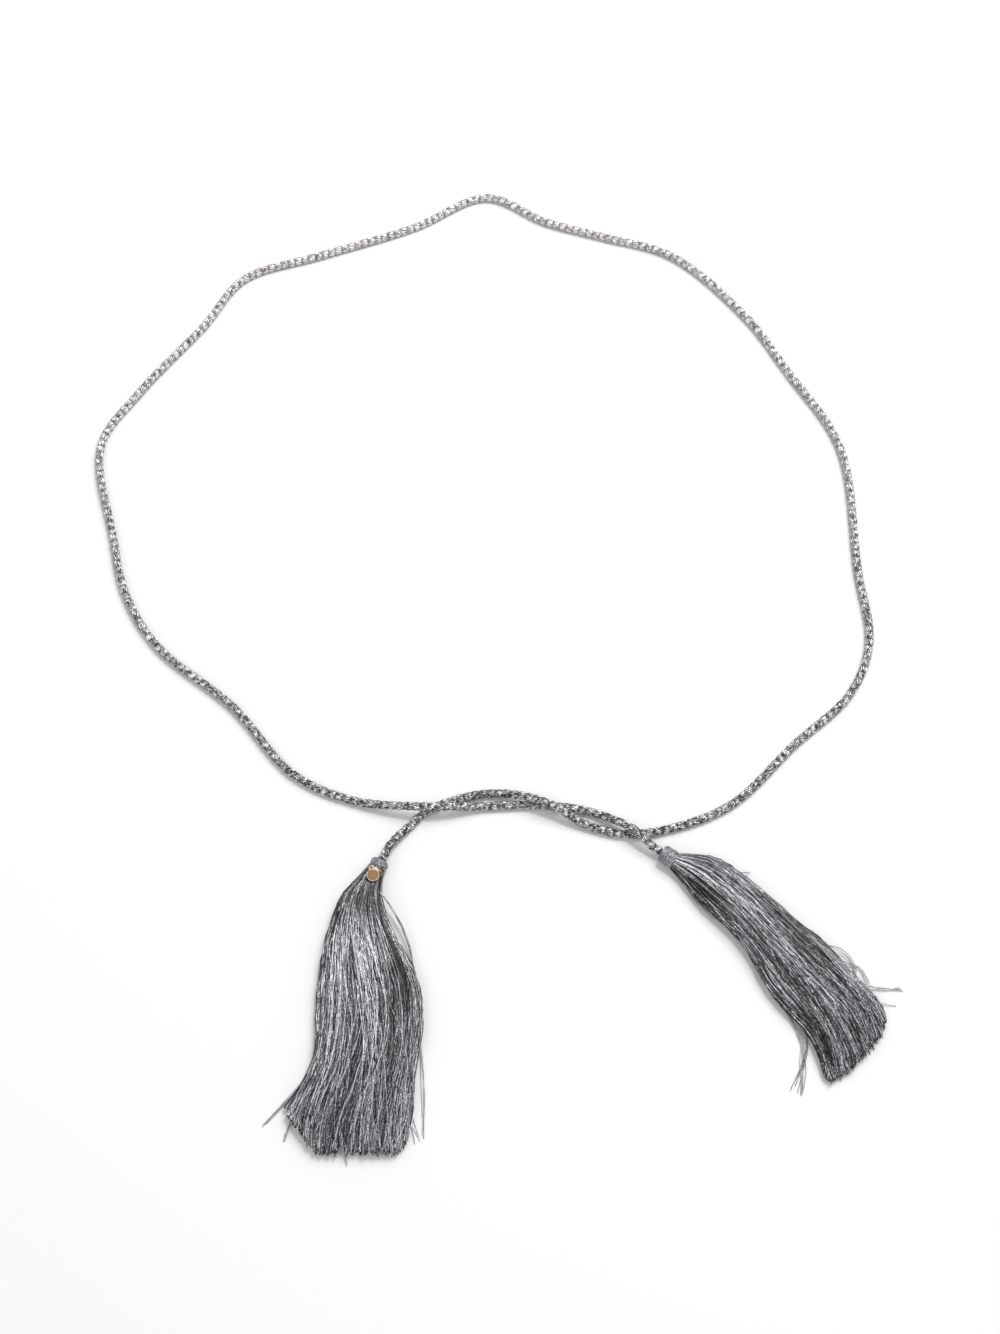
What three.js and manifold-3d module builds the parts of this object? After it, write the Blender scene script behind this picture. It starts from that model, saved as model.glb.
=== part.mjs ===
// Tassel belt: one braided cord laid out as a loose loop, its two ends twisted round each other in front,
// a wound head and a thread tassel on each end, and a metal band with a small bare tag round the left tassel's neck.
// Millimetres. +X runs to the right of the belt, +Y away from its front and +Z up from the surface it lies on.
// The origin is on that surface, in the middle of the box round the two tassels.

import * as THREE from 'three';
import Module from 'manifold-3d';
import { mergeVertices } from 'three/addons/utils/BufferGeometryUtils.js';

// Cord
const LOOP_WIDTH = 450;
const CORD_DIAMETER = 5;
const CROSSING_CLEARANCE = 0.9;
const CORD_SIDES = 10;
const STEPS_BETWEEN_POINTS = 4;

// Heads and necks
const HEAD_DIAMETER = 10;
const BARE_NECK_LENGTH = 2;
const SEAT_GAP = 0.3;
const CORD_SEAT_GAP = 0.5;
const ROUND_SIDES = 24;

// Skirts
const SKIRT_THICKNESS = 13;
const SKIRT_SIDES = 28;
const UNDERSIDE_FLATNESS = 1.8;
const WIDEST_HEIGHT = 0.35;

// Tag
const BAND_WIDTH = 3.3;
const BAND_THICKNESS = 0.8;
const BAND_EDGE = 0.15;
const BAND_SIDES = 36;
const DISC_DIAMETER = 6.6;
const DISC_THICKNESS = 0.8;
const DISC_RIM_WIDTH = 0.5;
const DISC_RIM_HEIGHT = 0.15;
const DISC_SIDES = 40;
const DISC_SWING = 42;
const EYE_HOLE = 1.2;
const EYE_WIRE = 0.7;
const EYE_WIRE_SIDES = 8;
const EYE_SIDES = 20;
const EYE_ASIDE = 1.7;

// The cord's route, from the left head round the loop to the right head. x and y are shares of the loop's width,
// and aside is how many diameters the cord lies to the back of them where it runs beside itself. over is the share
// of a full crossing that it is lifted by, and entry the share of its climb into a head.
const ROUTE_COLUMNS = ['x', 'y', 'aside', 'over', 'entry'];
const ROUTE = [
  [-0.241, 0.161, 0, 0, 1], [-0.231, 0.18, 0, 0, 0.8], [-0.209, 0.204, 0, 0, 0.1],
  [-0.187, 0.224, 0, 0, 0], [-0.113, 0.237, 0.72, 0, 0], [-0.047, 0.23, 0, 1, 0],
  [0.006, 0.212, -0.74, 0, 0], [0.061, 0.194, 0, 0, 0], [0.171, 0.227, 0, 0, 0], [0.26, 0.309, 0, 0, 0],
  [0.333, 0.376, 0, 0, 0], [0.362, 0.444, 0, 0, 0], [0.356, 0.547, 0, 0, 0], [0.347, 0.727, 0, 0, 0],
  [0.287, 0.842, 0, 0, 0], [0.233, 0.933, 0, 0, 0], [0.138, 1.031, 0, 0, 0], [0.042, 1.064, 0, 0, 0],
  [-0.036, 1.089, 0, 0, 0], [-0.12, 1.131, 0, 0, 0], [-0.22, 1.08, 0, 0, 0], [-0.347, 1.033, 0, 0, 0],
  [-0.453, 0.993, 0, 0, 0], [-0.504, 0.916, 0, 0, 0], [-0.584, 0.809, 0, 0, 0],
  [-0.627, 0.729, 0, 0, 0], [-0.6, 0.596, 0, 0, 0], [-0.576, 0.511, 0, 0, 0], [-0.529, 0.438, 0, 0, 0],
  [-0.431, 0.358, 0, 0, 0], [-0.351, 0.269, 0, 0, 0], [-0.278, 0.236, 0, 0, 0],
  [-0.187, 0.224, 0, 1, 0], [-0.113, 0.237, -0.72, 0, 0], [-0.047, 0.23, 0, 0, 0],
  [0.013, 0.212, 0.74, 0, 0], [0.061, 0.194, 0, 1, 0], [0.075, 0.181, 0, 0.24, 1],
  [0.084, 0.174, 0, 0, 1.12], [0.09, 0.17, 0, 0, 1],
];

// Outline of a head, from its cord face to its skirt face, as shares of its length and radius.
const HEAD_COLUMNS = ['along', 'radius'];
const HEAD_PROFILE = [
  [0, 0.62], [0.08, 0.84], [0.22, 0.97], [0.42, 1], [0.64, 0.98], [0.84, 0.89], [1, 0.76],
];

// Sections of a skirt past its neck. along is a share of its length, and shift and width are shares of its width.
// rise is the share of the climb from the neck's top to the full thickness, below 0 where the skirt is lower than
// its neck, and turn is how much of the head's direction a section still has.
const SKIRT_COLUMNS = ['along', 'shift', 'width', 'rise', 'turn'];
const TASSELS = [
  {
    side: 'left',
    banded: true,
    headLength: 5.2,
    skirtHeading: -93.5,
    skirtLength: 143,
    skirtWidth: 64,
    sections: [
      [0.03, -0.03, 0.2, 0.15, 0.8], [0.08, -0.07, 0.32, 0.46, 0.6], [0.17, -0.065, 0.45, 0.76, 0.25],
      [0.25, -0.04, 0.575, 0.94, 0], [0.33, 0.015, 0.73, 1, 0], [0.42, 0.06, 0.82, 1, 0],
      [0.5, 0.07, 0.84, 0.91, 0], [0.58, 0.09, 0.845, 0.79, 0], [0.67, 0.075, 0.8, 0.64, 0],
      [0.75, 0.055, 0.83, 0.46, 0], [0.83, 0, 0.955, 0.27, 0], [0.92, -0.04, 1, -0.09, 0],
      [1, -0.02, 0.95, -0.75, 0],
    ],
  },
  {
    side: 'right',
    banded: false,
    headLength: 9,
    skirtHeading: -50,
    skirtLength: 134,
    skirtWidth: 46,
    sections: [
      [0.03, 0.06, 0.3, 0.21, 0.8], [0.08, 0.12, 0.46, 0.52, 0.6], [0.17, 0.16, 0.55, 0.82, 0.25],
      [0.25, 0.195, 0.58, 1, 0], [0.33, 0.225, 0.59, 1, 0], [0.42, 0.235, 0.615, 1, 0],
      [0.5, 0.215, 0.71, 0.91, 0], [0.58, 0.215, 0.84, 0.79, 0], [0.67, 0.2, 0.86, 0.64, 0],
      [0.75, 0.205, 0.82, 0.46, 0], [0.83, 0.22, 0.86, 0.27, 0], [0.92, 0.16, 0.94, -0.09, 0],
      [1, 0.045, 1, -0.75, 0],
    ],
  },
];

const cordRadius = CORD_DIAMETER / 2;
const headRadius = HEAD_DIAMETER / 2;
const discRadius = DISC_DIAMETER / 2;
const neckRadius = headRadius - BAND_THICKNESS - SEAT_GAP;
const neckTop = headRadius + neckRadius;

const SILVER_YARN = { color: 0x9a9a9e, roughness: 0.45, metalness: 0.5 };
const SILVER_WINDING = { color: 0x8d8c92, roughness: 0.38, metalness: 0.45 };
const SILVER_THREAD = { color: 0x77777c, roughness: 0.42, metalness: 0.4 };
const TAN_GOLD = { color: 0xb08a66, roughness: 0.35, metalness: 0.9 };

function rows(columns, table) {
  return table.map((row) => Object.fromEntries(columns.map((column, i) => [column, row[i]])));
}

function piece(name, geometry, finish) {
  const mesh = new THREE.Mesh(geometry, new THREE.MeshStandardMaterial(finish));
  mesh.name = name;
  return mesh;
}

function direction(heading) {
  const angle = THREE.MathUtils.degToRad(heading);
  return new THREE.Vector3(Math.cos(angle), Math.sin(angle), 0);
}

function headingOf(vector) {
  return THREE.MathUtils.radToDeg(Math.atan2(vector.y, vector.x));
}

// The belt's centreline. Its steps follow the route's points, and it never dips into the surface.
class BeltRoute extends THREE.CatmullRomCurve3 {
  getPoint(t, target = new THREE.Vector3()) {
    super.getPoint(t, target);
    target.z = Math.max(target.z, cordRadius);
    return target;
  }

  getUtoTmapping(u) {
    return u;
  }
}

function beltRoute() {
  const crossingRise = CORD_DIAMETER + CROSSING_CLEARANCE;
  const entryRise = headRadius - cordRadius;
  const points = rows(ROUTE_COLUMNS, ROUTE).map(({ x, y, aside, over, entry }) => {
    const height = cordRadius + over * crossingRise + entry * entryRise;
    return new THREE.Vector3(x * LOOP_WIDTH, y * LOOP_WIDTH + aside * CORD_DIAMETER, height);
  });
  return new BeltRoute(points);
}

function cord(route) {
  const section = new THREE.Shape();
  for (let side = 0; side < CORD_SIDES; side += 1) {
    const angle = (side / CORD_SIDES) * 2 * Math.PI;
    const corner = [cordRadius * Math.cos(angle), cordRadius * Math.sin(angle)];
    if (side === 0) {
      section.moveTo(...corner);
    } else {
      section.lineTo(...corner);
    }
  }
  const steps = (route.points.length - 1) * STEPS_BETWEEN_POINTS;
  const tube = new THREE.ExtrudeGeometry(section, { steps, bevelEnabled: false, extrudePath: route });
  return piece('cord', tube, SILVER_YARN);
}

// A head carries on from its end of the cord, a small gap past it, and its skirt begins a seat gap past the head.
function headPlaces(route, tassel) {
  const atStart = tassel.side === 'left';
  const outward = atStart ? route.getTangent(0).negate() : route.getTangent(1);
  const heading = headingOf(outward);
  const forward = direction(heading);
  const face = route.getPoint(atStart ? 0 : 1).addScaledVector(forward, CORD_SEAT_GAP);
  const neck = face.clone().addScaledVector(forward, tassel.headLength + SEAT_GAP);
  const neckLength = tassel.banded ? BAND_WIDTH + 2 * SEAT_GAP : BARE_NECK_LENGTH;
  return { heading, forward, face, neck, neckLength };
}

function head(tassel, places) {
  const outline = rows(HEAD_COLUMNS, HEAD_PROFILE).map(
    ({ along, radius }) => new THREE.Vector2(radius * headRadius, along * tassel.headLength),
  );
  const profile = [new THREE.Vector2(0, 0), ...outline, new THREE.Vector2(0, tassel.headLength)];
  const mesh = piece(`tassel_head_${tassel.side}`, new THREE.LatheGeometry(profile, ROUND_SIDES), SILVER_WINDING);
  mesh.position.copy(places.face);
  mesh.rotation.z = THREE.MathUtils.degToRad(places.heading) - Math.PI / 2;
  return mesh;
}

// One ring of points round a section: a domed top, sides that are widest low down, and a flattened underside.
function sectionRing({ middle, heading, width, base, top, widest, flatness }) {
  const across = direction(heading + 90);
  const ring = [];
  for (let side = 0; side < SKIRT_SIDES; side += 1) {
    const angle = (side / SKIRT_SIDES) * 2 * Math.PI;
    const rise = Math.sin(angle);
    const above = widest + (top - widest) * rise;
    const below = widest - (widest - base) * Math.min(1, -rise * flatness);
    const point = middle.clone().addScaledVector(across, (width / 2) * Math.cos(angle));
    point.z = rise >= 0 ? above : below;
    ring.push(point);
  }
  return ring;
}

function loft(rings) {
  const sides = rings[0].length;
  const caps = [rings[0], rings.at(-1)].map((ring) =>
    ring.reduce((sum, point) => sum.addScaledVector(point, 1 / sides), new THREE.Vector3()),
  );
  const positions = [...rings.flat(), ...caps].flatMap((point) => point.toArray());
  const startCap = rings.length * sides;
  const lastRing = startCap - sides;
  const faces = [];
  for (let side = 0; side < sides; side += 1) {
    const next = (side + 1) % sides;
    for (let ring = 0; ring < lastRing; ring += sides) {
      faces.push(ring + side, ring + next, ring + sides + next);
      faces.push(ring + side, ring + sides + next, ring + sides + side);
    }
    faces.push(startCap, next, side);
    faces.push(startCap + 1, lastRing + side, lastRing + next);
  }
  const geometry = new THREE.BufferGeometry();
  geometry.setAttribute('position', new THREE.Float32BufferAttribute(positions, 3));
  geometry.setIndex(faces);
  geometry.computeVertexNormals();
  return geometry;
}

function skirt(tassel, places) {
  const neckSection = {
    heading: places.heading,
    width: 2 * neckRadius,
    base: headRadius - neckRadius,
    top: neckTop,
    widest: headRadius,
    flatness: 1,
  };
  const neckRings = [0, places.neckLength].map((along) =>
    sectionRing({ ...neckSection, middle: places.neck.clone().addScaledVector(places.forward, along) }),
  );
  const start = places.neck.clone().addScaledVector(places.forward, places.neckLength);
  const onward = direction(tassel.skirtHeading);
  const sideways = direction(tassel.skirtHeading + 90);
  const bend = places.heading - tassel.skirtHeading;
  const skirtRings = rows(SKIRT_COLUMNS, tassel.sections).map(({ along, shift, width, rise, turn }) => {
    const top = neckTop + rise * (SKIRT_THICKNESS - neckTop);
    const middle = start.clone().addScaledVector(onward, along * tassel.skirtLength);
    middle.addScaledVector(sideways, shift * tassel.skirtWidth);
    return sectionRing({
      middle,
      heading: tassel.skirtHeading + turn * bend,
      width: width * tassel.skirtWidth,
      base: 0,
      top,
      widest: WIDEST_HEIGHT * top,
      flatness: UNDERSIDE_FLATNESS,
    });
  });
  return piece(`tassel_skirt_${tassel.side}`, loft([...neckRings, ...skirtRings]), SILVER_THREAD);
}

// The band lies round the neck, level with the head, so it stands on the surface as the head does.
function bandMiddle(places) {
  return places.neck.clone().addScaledVector(places.forward, places.neckLength / 2);
}

function tagBand(places) {
  const half = BAND_WIDTH / 2;
  const outer = headRadius;
  const inner = headRadius - BAND_THICKNESS;
  const profile = [
    [inner, -half], [outer - BAND_EDGE, -half], [outer, BAND_EDGE - half],
    [outer, half - BAND_EDGE], [outer - BAND_EDGE, half], [inner, half], [inner, -half],
  ].map(([radius, height]) => new THREE.Vector2(radius, height));
  const mesh = piece('tag_band', new THREE.LatheGeometry(profile, BAND_SIDES), TAN_GOLD);
  mesh.position.copy(bandMiddle(places));
  mesh.rotation.z = THREE.MathUtils.degToRad(places.heading) - Math.PI / 2;
  return mesh;
}

function solidOf(wasm, geometry) {
  const bare = geometry.clone();
  bare.deleteAttribute('normal');
  bare.deleteAttribute('uv');
  const merged = mergeVertices(bare);
  const vertProperties = new Float32Array(merged.attributes.position.array);
  const triVerts = new Uint32Array(merged.index.array);
  return new wasm.Manifold(new wasm.Mesh({ numProp: 3, vertProperties, triVerts }));
}

function geometryOf(solid) {
  const { vertProperties, triVerts } = solid.getMesh();
  const geometry = new THREE.BufferGeometry();
  geometry.setAttribute('position', new THREE.Float32BufferAttribute(vertProperties, 3));
  geometry.setIndex([...triVerts]);
  geometry.computeVertexNormals();
  return geometry;
}

// The disc lies level on top of the band, its eye a little aside of the band's middle. Its own origin is its eye.
async function tagDisc(places) {
  const wasm = await Module();
  wasm.setup();
  const half = DISC_THICKNESS / 2;
  const profile = [
    [0, -half], [discRadius, -half], [discRadius, half], [discRadius - DISC_RIM_WIDTH, half],
    [discRadius - DISC_RIM_WIDTH - DISC_RIM_HEIGHT, half - DISC_RIM_HEIGHT], [0, half - DISC_RIM_HEIGHT],
  ].map(([radius, height]) => new THREE.Vector2(radius, height));
  const eyeRadius = (EYE_HOLE + EYE_WIRE) / 2;
  const disc = new THREE.LatheGeometry(profile, DISC_SIDES);
  disc.rotateX(Math.PI / 2);
  disc.translate(eyeRadius + discRadius, 0, 0);
  const eye = new THREE.TorusGeometry(eyeRadius, EYE_WIRE / 2, EYE_WIRE_SIDES, EYE_SIDES);
  const mesh = piece('tag_disc', geometryOf(solidOf(wasm, disc).add(solidOf(wasm, eye))), TAN_GOLD);
  mesh.position.copy(bandMiddle(places)).addScaledVector(direction(places.heading + 90), -EYE_ASIDE);
  mesh.position.z = 2 * headRadius + SEAT_GAP + half;
  mesh.rotation.z = THREE.MathUtils.degToRad(places.heading + DISC_SWING);
  return mesh;
}

const belt = new THREE.Group();
const route = beltRoute();
belt.add(cord(route));
for (const tassel of TASSELS) {
  const places = headPlaces(route, tassel);
  belt.add(head(tassel, places), skirt(tassel, places));
  if (tassel.banded) {
    belt.add(tagBand(places), await tagDisc(places));
  }
}

export default belt;
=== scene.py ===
"""Looks of a tassel belt: a braided silver cord, wound heads, thread skirts and a small metal tag.

Every size is in metres, in the row's frame: +X to the right of the belt, +Y away from its front, +Z up.
"""

import logging
import math
from collections.abc import Iterable, Mapping, Sequence
from dataclasses import dataclass, field
from enum import Enum
from typing import NamedTuple, Union

import bpy
import numpy as np
from mathutils import Matrix, Vector


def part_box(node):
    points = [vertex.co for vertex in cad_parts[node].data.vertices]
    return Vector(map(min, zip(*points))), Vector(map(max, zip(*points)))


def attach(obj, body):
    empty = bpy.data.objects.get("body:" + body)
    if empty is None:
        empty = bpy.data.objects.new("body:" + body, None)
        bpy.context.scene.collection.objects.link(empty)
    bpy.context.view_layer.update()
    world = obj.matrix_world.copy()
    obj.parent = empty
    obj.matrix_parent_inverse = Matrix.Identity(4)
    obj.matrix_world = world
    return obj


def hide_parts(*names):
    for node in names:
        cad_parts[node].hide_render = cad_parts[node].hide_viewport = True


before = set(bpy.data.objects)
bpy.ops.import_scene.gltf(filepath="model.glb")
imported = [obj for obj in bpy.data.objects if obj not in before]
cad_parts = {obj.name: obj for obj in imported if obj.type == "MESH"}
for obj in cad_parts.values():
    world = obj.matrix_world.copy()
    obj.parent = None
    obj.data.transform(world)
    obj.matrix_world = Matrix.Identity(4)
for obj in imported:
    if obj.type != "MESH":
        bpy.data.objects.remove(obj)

LOG = logging.getLogger("tassel_belt")
MM = 0.001
PHOTO_WIDTH = 1000
PHOTO_HEIGHT = 1334
PHOTO_FOCUS = 1700.0
SENSOR_WIDTH = 36.0
BODY = "root"
CORD_SEAT_GAP = 0.0005


class RoutePoint(NamedTuple):
    """One point of the cord's route.

    x and y are shares of the loop's width, and aside is in cord diameters. over is the share of a full crossing
    that the cord is lifted by, and entry the share of its climb into a head.
    """

    x: float
    y: float
    aside: float
    over: float
    entry: float


class SkirtSection(NamedTuple):
    """One section of a skirt, with along as a share of its length, and shift and width as shares of its width.

    rise is the share of the climb from the neck's top to the full thickness, below 0 where the skirt is lower than
    its neck, and turn is how much of the head's direction is left.
    """

    along: float
    shift: float
    width: float
    rise: float
    turn: float


class Side(Enum):
    """Which tassel of the belt a piece belongs to."""

    LEFT = "left"
    RIGHT = "right"


class Slot(Enum):
    """The record's material slots."""

    CORD = "silver_cord"
    WINDING = "silver_winding"
    THREAD = "silver_thread"
    METAL = "tan_metal"


ROUTE = [
    RoutePoint(*row)
    for row in (
        (-0.241, 0.161, 0, 0, 1), (-0.231, 0.18, 0, 0, 0.8), (-0.209, 0.204, 0, 0, 0.1),
        (-0.187, 0.224, 0, 0, 0), (-0.113, 0.237, 0.72, 0, 0), (-0.047, 0.23, 0, 1, 0),
        (0.006, 0.212, -0.74, 0, 0), (0.061, 0.194, 0, 0, 0), (0.171, 0.227, 0, 0, 0),
        (0.26, 0.309, 0, 0, 0), (0.333, 0.376, 0, 0, 0), (0.362, 0.444, 0, 0, 0),
        (0.356, 0.547, 0, 0, 0), (0.347, 0.727, 0, 0, 0), (0.287, 0.842, 0, 0, 0),
        (0.233, 0.933, 0, 0, 0), (0.138, 1.031, 0, 0, 0), (0.042, 1.064, 0, 0, 0),
        (-0.036, 1.089, 0, 0, 0), (-0.12, 1.131, 0, 0, 0), (-0.22, 1.08, 0, 0, 0),
        (-0.347, 1.033, 0, 0, 0), (-0.453, 0.993, 0, 0, 0), (-0.504, 0.916, 0, 0, 0),
        (-0.584, 0.809, 0, 0, 0), (-0.627, 0.729, 0, 0, 0), (-0.6, 0.596, 0, 0, 0),
        (-0.576, 0.511, 0, 0, 0), (-0.529, 0.438, 0, 0, 0), (-0.431, 0.358, 0, 0, 0),
        (-0.351, 0.269, 0, 0, 0), (-0.278, 0.236, 0, 0, 0), (-0.187, 0.224, 0, 1, 0),
        (-0.113, 0.237, -0.72, 0, 0), (-0.047, 0.23, 0, 0, 0), (0.013, 0.212, 0.74, 0, 0),
        (0.061, 0.194, 0, 1, 0), (0.075, 0.181, 0, 0.24, 1), (0.084, 0.174, 0, 0, 1.12),
        (0.09, 0.17, 0, 0, 1),
    )
]


# ---------------------------------------------------------------- node trees


class Signal:
    """A number or vector socket. Python's operators on it add Math or Vector Math nodes."""

    def __init__(self, graph: "NodeGraph", socket: bpy.types.NodeSocket) -> None:
        """Keeps an output socket and its tree."""
        self.graph = graph
        self.socket = socket

    def __add__(self, other: "Operand") -> "Signal":
        """Adds."""
        return self.graph.math("ADD", self, other)

    def __radd__(self, other: "Operand") -> "Signal":
        """Adds, with the signal second."""
        return self.graph.math("ADD", other, self)

    def __sub__(self, other: "Operand") -> "Signal":
        """Subtracts."""
        return self.graph.math("SUBTRACT", self, other)

    def __rsub__(self, other: "Operand") -> "Signal":
        """Subtracts the signal."""
        return self.graph.math("SUBTRACT", other, self)

    def __mul__(self, other: "Operand") -> "Signal":
        """Multiplies."""
        return self.graph.math("MULTIPLY", self, other)

    def __rmul__(self, other: "Operand") -> "Signal":
        """Multiplies, with the signal second."""
        return self.graph.math("MULTIPLY", other, self)

    def __truediv__(self, other: "Operand") -> "Signal":
        """Divides."""
        return self.graph.math("DIVIDE", self, other)

    def __mod__(self, other: "Operand") -> "Signal":
        """Remainder of a division, never below 0."""
        return self.graph.math("FLOORED_MODULO", self, other)


Operand = Union[Signal, float, int]


class NodeGraph:
    """A node tree with short ways to add nodes and links."""

    def __init__(self, tree: bpy.types.NodeTree) -> None:
        """Keeps an emptied shader, world or geometry tree."""
        self.tree = tree
        tree.nodes.clear()

    def node(
        self,
        kind: str,
        settings: Mapping[str, object] | None = None,
        inputs: Mapping[str, object] | None = None,
    ) -> bpy.types.Node:
        """Adds one node.

        Args:
            kind: The node's type name.
            settings: Its own settings, set first: "stops" for a ramp, "curve" for a float curve.
            inputs: A value, socket or signal for each input, by the input's name.

        Returns:
            The new node.
        """
        node = self.tree.nodes.new(kind)
        for key, value in (settings or {}).items():
            if key == "stops":
                self._set_stops(node, value)
            elif key == "curve":
                self._set_curve(node, value)
            else:
                setattr(node, key, value)
        for name, value in (inputs or {}).items():
            self.put(node, name, value)
        return node

    @staticmethod
    def _set_stops(node: bpy.types.Node, stops: Sequence[tuple[float, tuple]]) -> None:
        """Sets a colour ramp's stops.

        Args:
            node: The ramp.
            stops: Each stop's place and colour.
        """
        ramp = node.color_ramp
        while len(ramp.elements) < len(stops):
            ramp.elements.new(1.0)
        for element, (place, colour) in zip(ramp.elements, stops):
            element.position = place
            element.color = colour

    @staticmethod
    def _set_curve(node: bpy.types.Node, points: Sequence[tuple[float, float]]) -> None:
        """Sets a float curve's points.

        Args:
            node: The float curve.
            points: Each point's place and value.
        """
        curve = node.mapping.curves[0]
        while len(curve.points) < len(points):
            curve.points.new(1.0, 1.0)
        for point, place in zip(curve.points, points):
            point.location = place
        node.mapping.update()

    def put(self, node: bpy.types.Node, name: str, value: object) -> None:
        """Sets or links one input.

        Args:
            node: The node.
            name: The input's name, or a number as text for its place.
            value: A plain value, a socket or a signal.
        """
        if name.isdigit():
            socket = node.inputs[int(name)]
        else:
            socket = next(s for s in node.inputs if s.name == name and s.enabled)
        if isinstance(value, Signal):
            value = value.socket
        if isinstance(value, bpy.types.NodeSocket):
            self.tree.links.new(value, socket)
        else:
            socket.default_value = value

    def out(self, node: bpy.types.Node, name: str) -> Signal:
        """Wraps a node's enabled output of this name."""
        return Signal(self, next(s for s in node.outputs if s.name == name and s.enabled))

    def read(self, kind: str, output: str) -> Signal:
        """Adds a node that needs no inputs, such as the position, and wraps its output."""
        return self.out(self.node(kind), output)

    def math(self, operation: str, *operands: object) -> Signal:
        """Adds a Math node, or a Vector Math node where an operand is a vector.

        Args:
            operation: The node's operation.
            operands: Numbers or signals.

        Returns:
            The result.
        """
        vectors = [isinstance(o, Signal) and o.socket.type in ("VECTOR", "RGBA") for o in operands]
        if operation == "MULTIPLY" and any(vectors) and not all(vectors):
            vector, scale = operands if vectors[0] else reversed(operands)
            node = self.node("ShaderNodeVectorMath", {"operation": "SCALE"}, {"Vector": vector, "Scale": scale})
            return self.out(node, "Vector")
        kind, result = ("ShaderNodeVectorMath", "Vector") if any(vectors) else ("ShaderNodeMath", "Value")
        values = {str(i): operand for i, operand in enumerate(operands)}
        return self.out(self.node(kind, {"operation": operation}, values), result)

    def vector(self, x: Operand, y: Operand, z: Operand) -> Signal:
        """Joins three numbers to a vector."""
        return self.out(self.node("ShaderNodeCombineXYZ", inputs={"X": x, "Y": y, "Z": z}), "Vector")

    def length(self, vector: Signal) -> Signal:
        """Measures a vector."""
        return self.out(self.node("ShaderNodeVectorMath", {"operation": "LENGTH"}, {"Vector": vector}), "Value")

    def clamp(self, value: Signal) -> Signal:
        """Holds a number between 0 and 1."""
        return self.out(self.node("ShaderNodeClamp", inputs={"Value": value}), "Result")

    def noise(self, place: Signal, scale: float, detail: float = 2.0) -> Signal:
        """Reads noise of about 0 to 1 at a place: scale says how fine it is, detail how many octaves it has."""
        inputs = {"Vector": place, "Scale": scale, "Detail": detail}
        return self.out(self.node("ShaderNodeTexNoise", inputs=inputs), "Fac")

    def ramp(self, level: Signal, stops: Sequence[tuple[float, tuple]]) -> Signal:
        """Turns a level into a colour by a ramp of places and colours."""
        return self.out(self.node("ShaderNodeValToRGB", {"stops": stops}, {"Fac": level}), "Color")

    def mix(self, factor: Operand, low: object, high: object) -> Signal:
        """Mixes two colours, from the first at factor 0 to the second at 1."""
        node = self.node("ShaderNodeMix", {"data_type": "RGBA"}, {"Factor": factor, "A": low, "B": high})
        return self.out(node, "Result")


Tint = tuple[float, float, float]
WHITE: Tint = (1.0, 1.0, 1.0)
SILVER: Tint = (1.0, 0.97, 1.035)
CORD_SILVER: Tint = (1.0, 0.965, 0.99)
TAN: Tint = (1.0, 0.6, 0.36)


def tinted(value: float, tint: Tint = WHITE) -> tuple[float, float, float, float]:
    """Gives a linear lightness a colour cast, with full alpha."""
    return (*(min(1.0, value * share) for share in tint), 1.0)


def tinted_stops(stops: Sequence[tuple[float, float]], tint: Tint) -> list[tuple[float, tuple]]:
    """Gives a ramp's places and lightnesses a colour cast."""
    return [(place, tinted(value, tint)) for place, value in stops]


class ShaderGraph(NodeGraph):
    """A material's tree, with its Principled node in place."""

    def __init__(self, name: str) -> None:
        """Makes the material.

        Args:
            name: The material's name.
        """
        self.material = bpy.data.materials.new(name)
        self.material.use_nodes = True
        super().__init__(self.material.node_tree)
        self.principled = self.node("ShaderNodeBsdfPrincipled")
        output = self.node("ShaderNodeOutputMaterial")
        self.put(output, "Surface", self.principled.outputs["BSDF"])

    def attribute(self, name: str, output: str = "Fac") -> Signal:
        """Reads an attribute of the piece, as "Fac" for a number or "Vector" for a vector."""
        return self.out(self.node("ShaderNodeAttribute", {"attribute_name": name}), output)

    def object_place(self) -> Signal:
        """Reads the place on the object, in metres."""
        return self.read("ShaderNodeTexCoord", "Object")

    def surface(self, **values: object) -> None:
        """Sets or links the Principled node's sockets, each by its name with _ for a space."""
        for name, value in values.items():
            self.put(self.principled, name.replace("_", " "), value)

    def bump(self, height: Signal, distance: float, strength: float) -> None:
        """Gives the surface relief: its height from 0 to 1, its depth in metres and its share."""
        node = self.node("ShaderNodeBump", inputs={"Height": height, "Distance": distance, "Strength": strength})
        self.put(self.principled, "Normal", node.outputs["Normal"])


# ------------------------------------------------------------------ finishes


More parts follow.
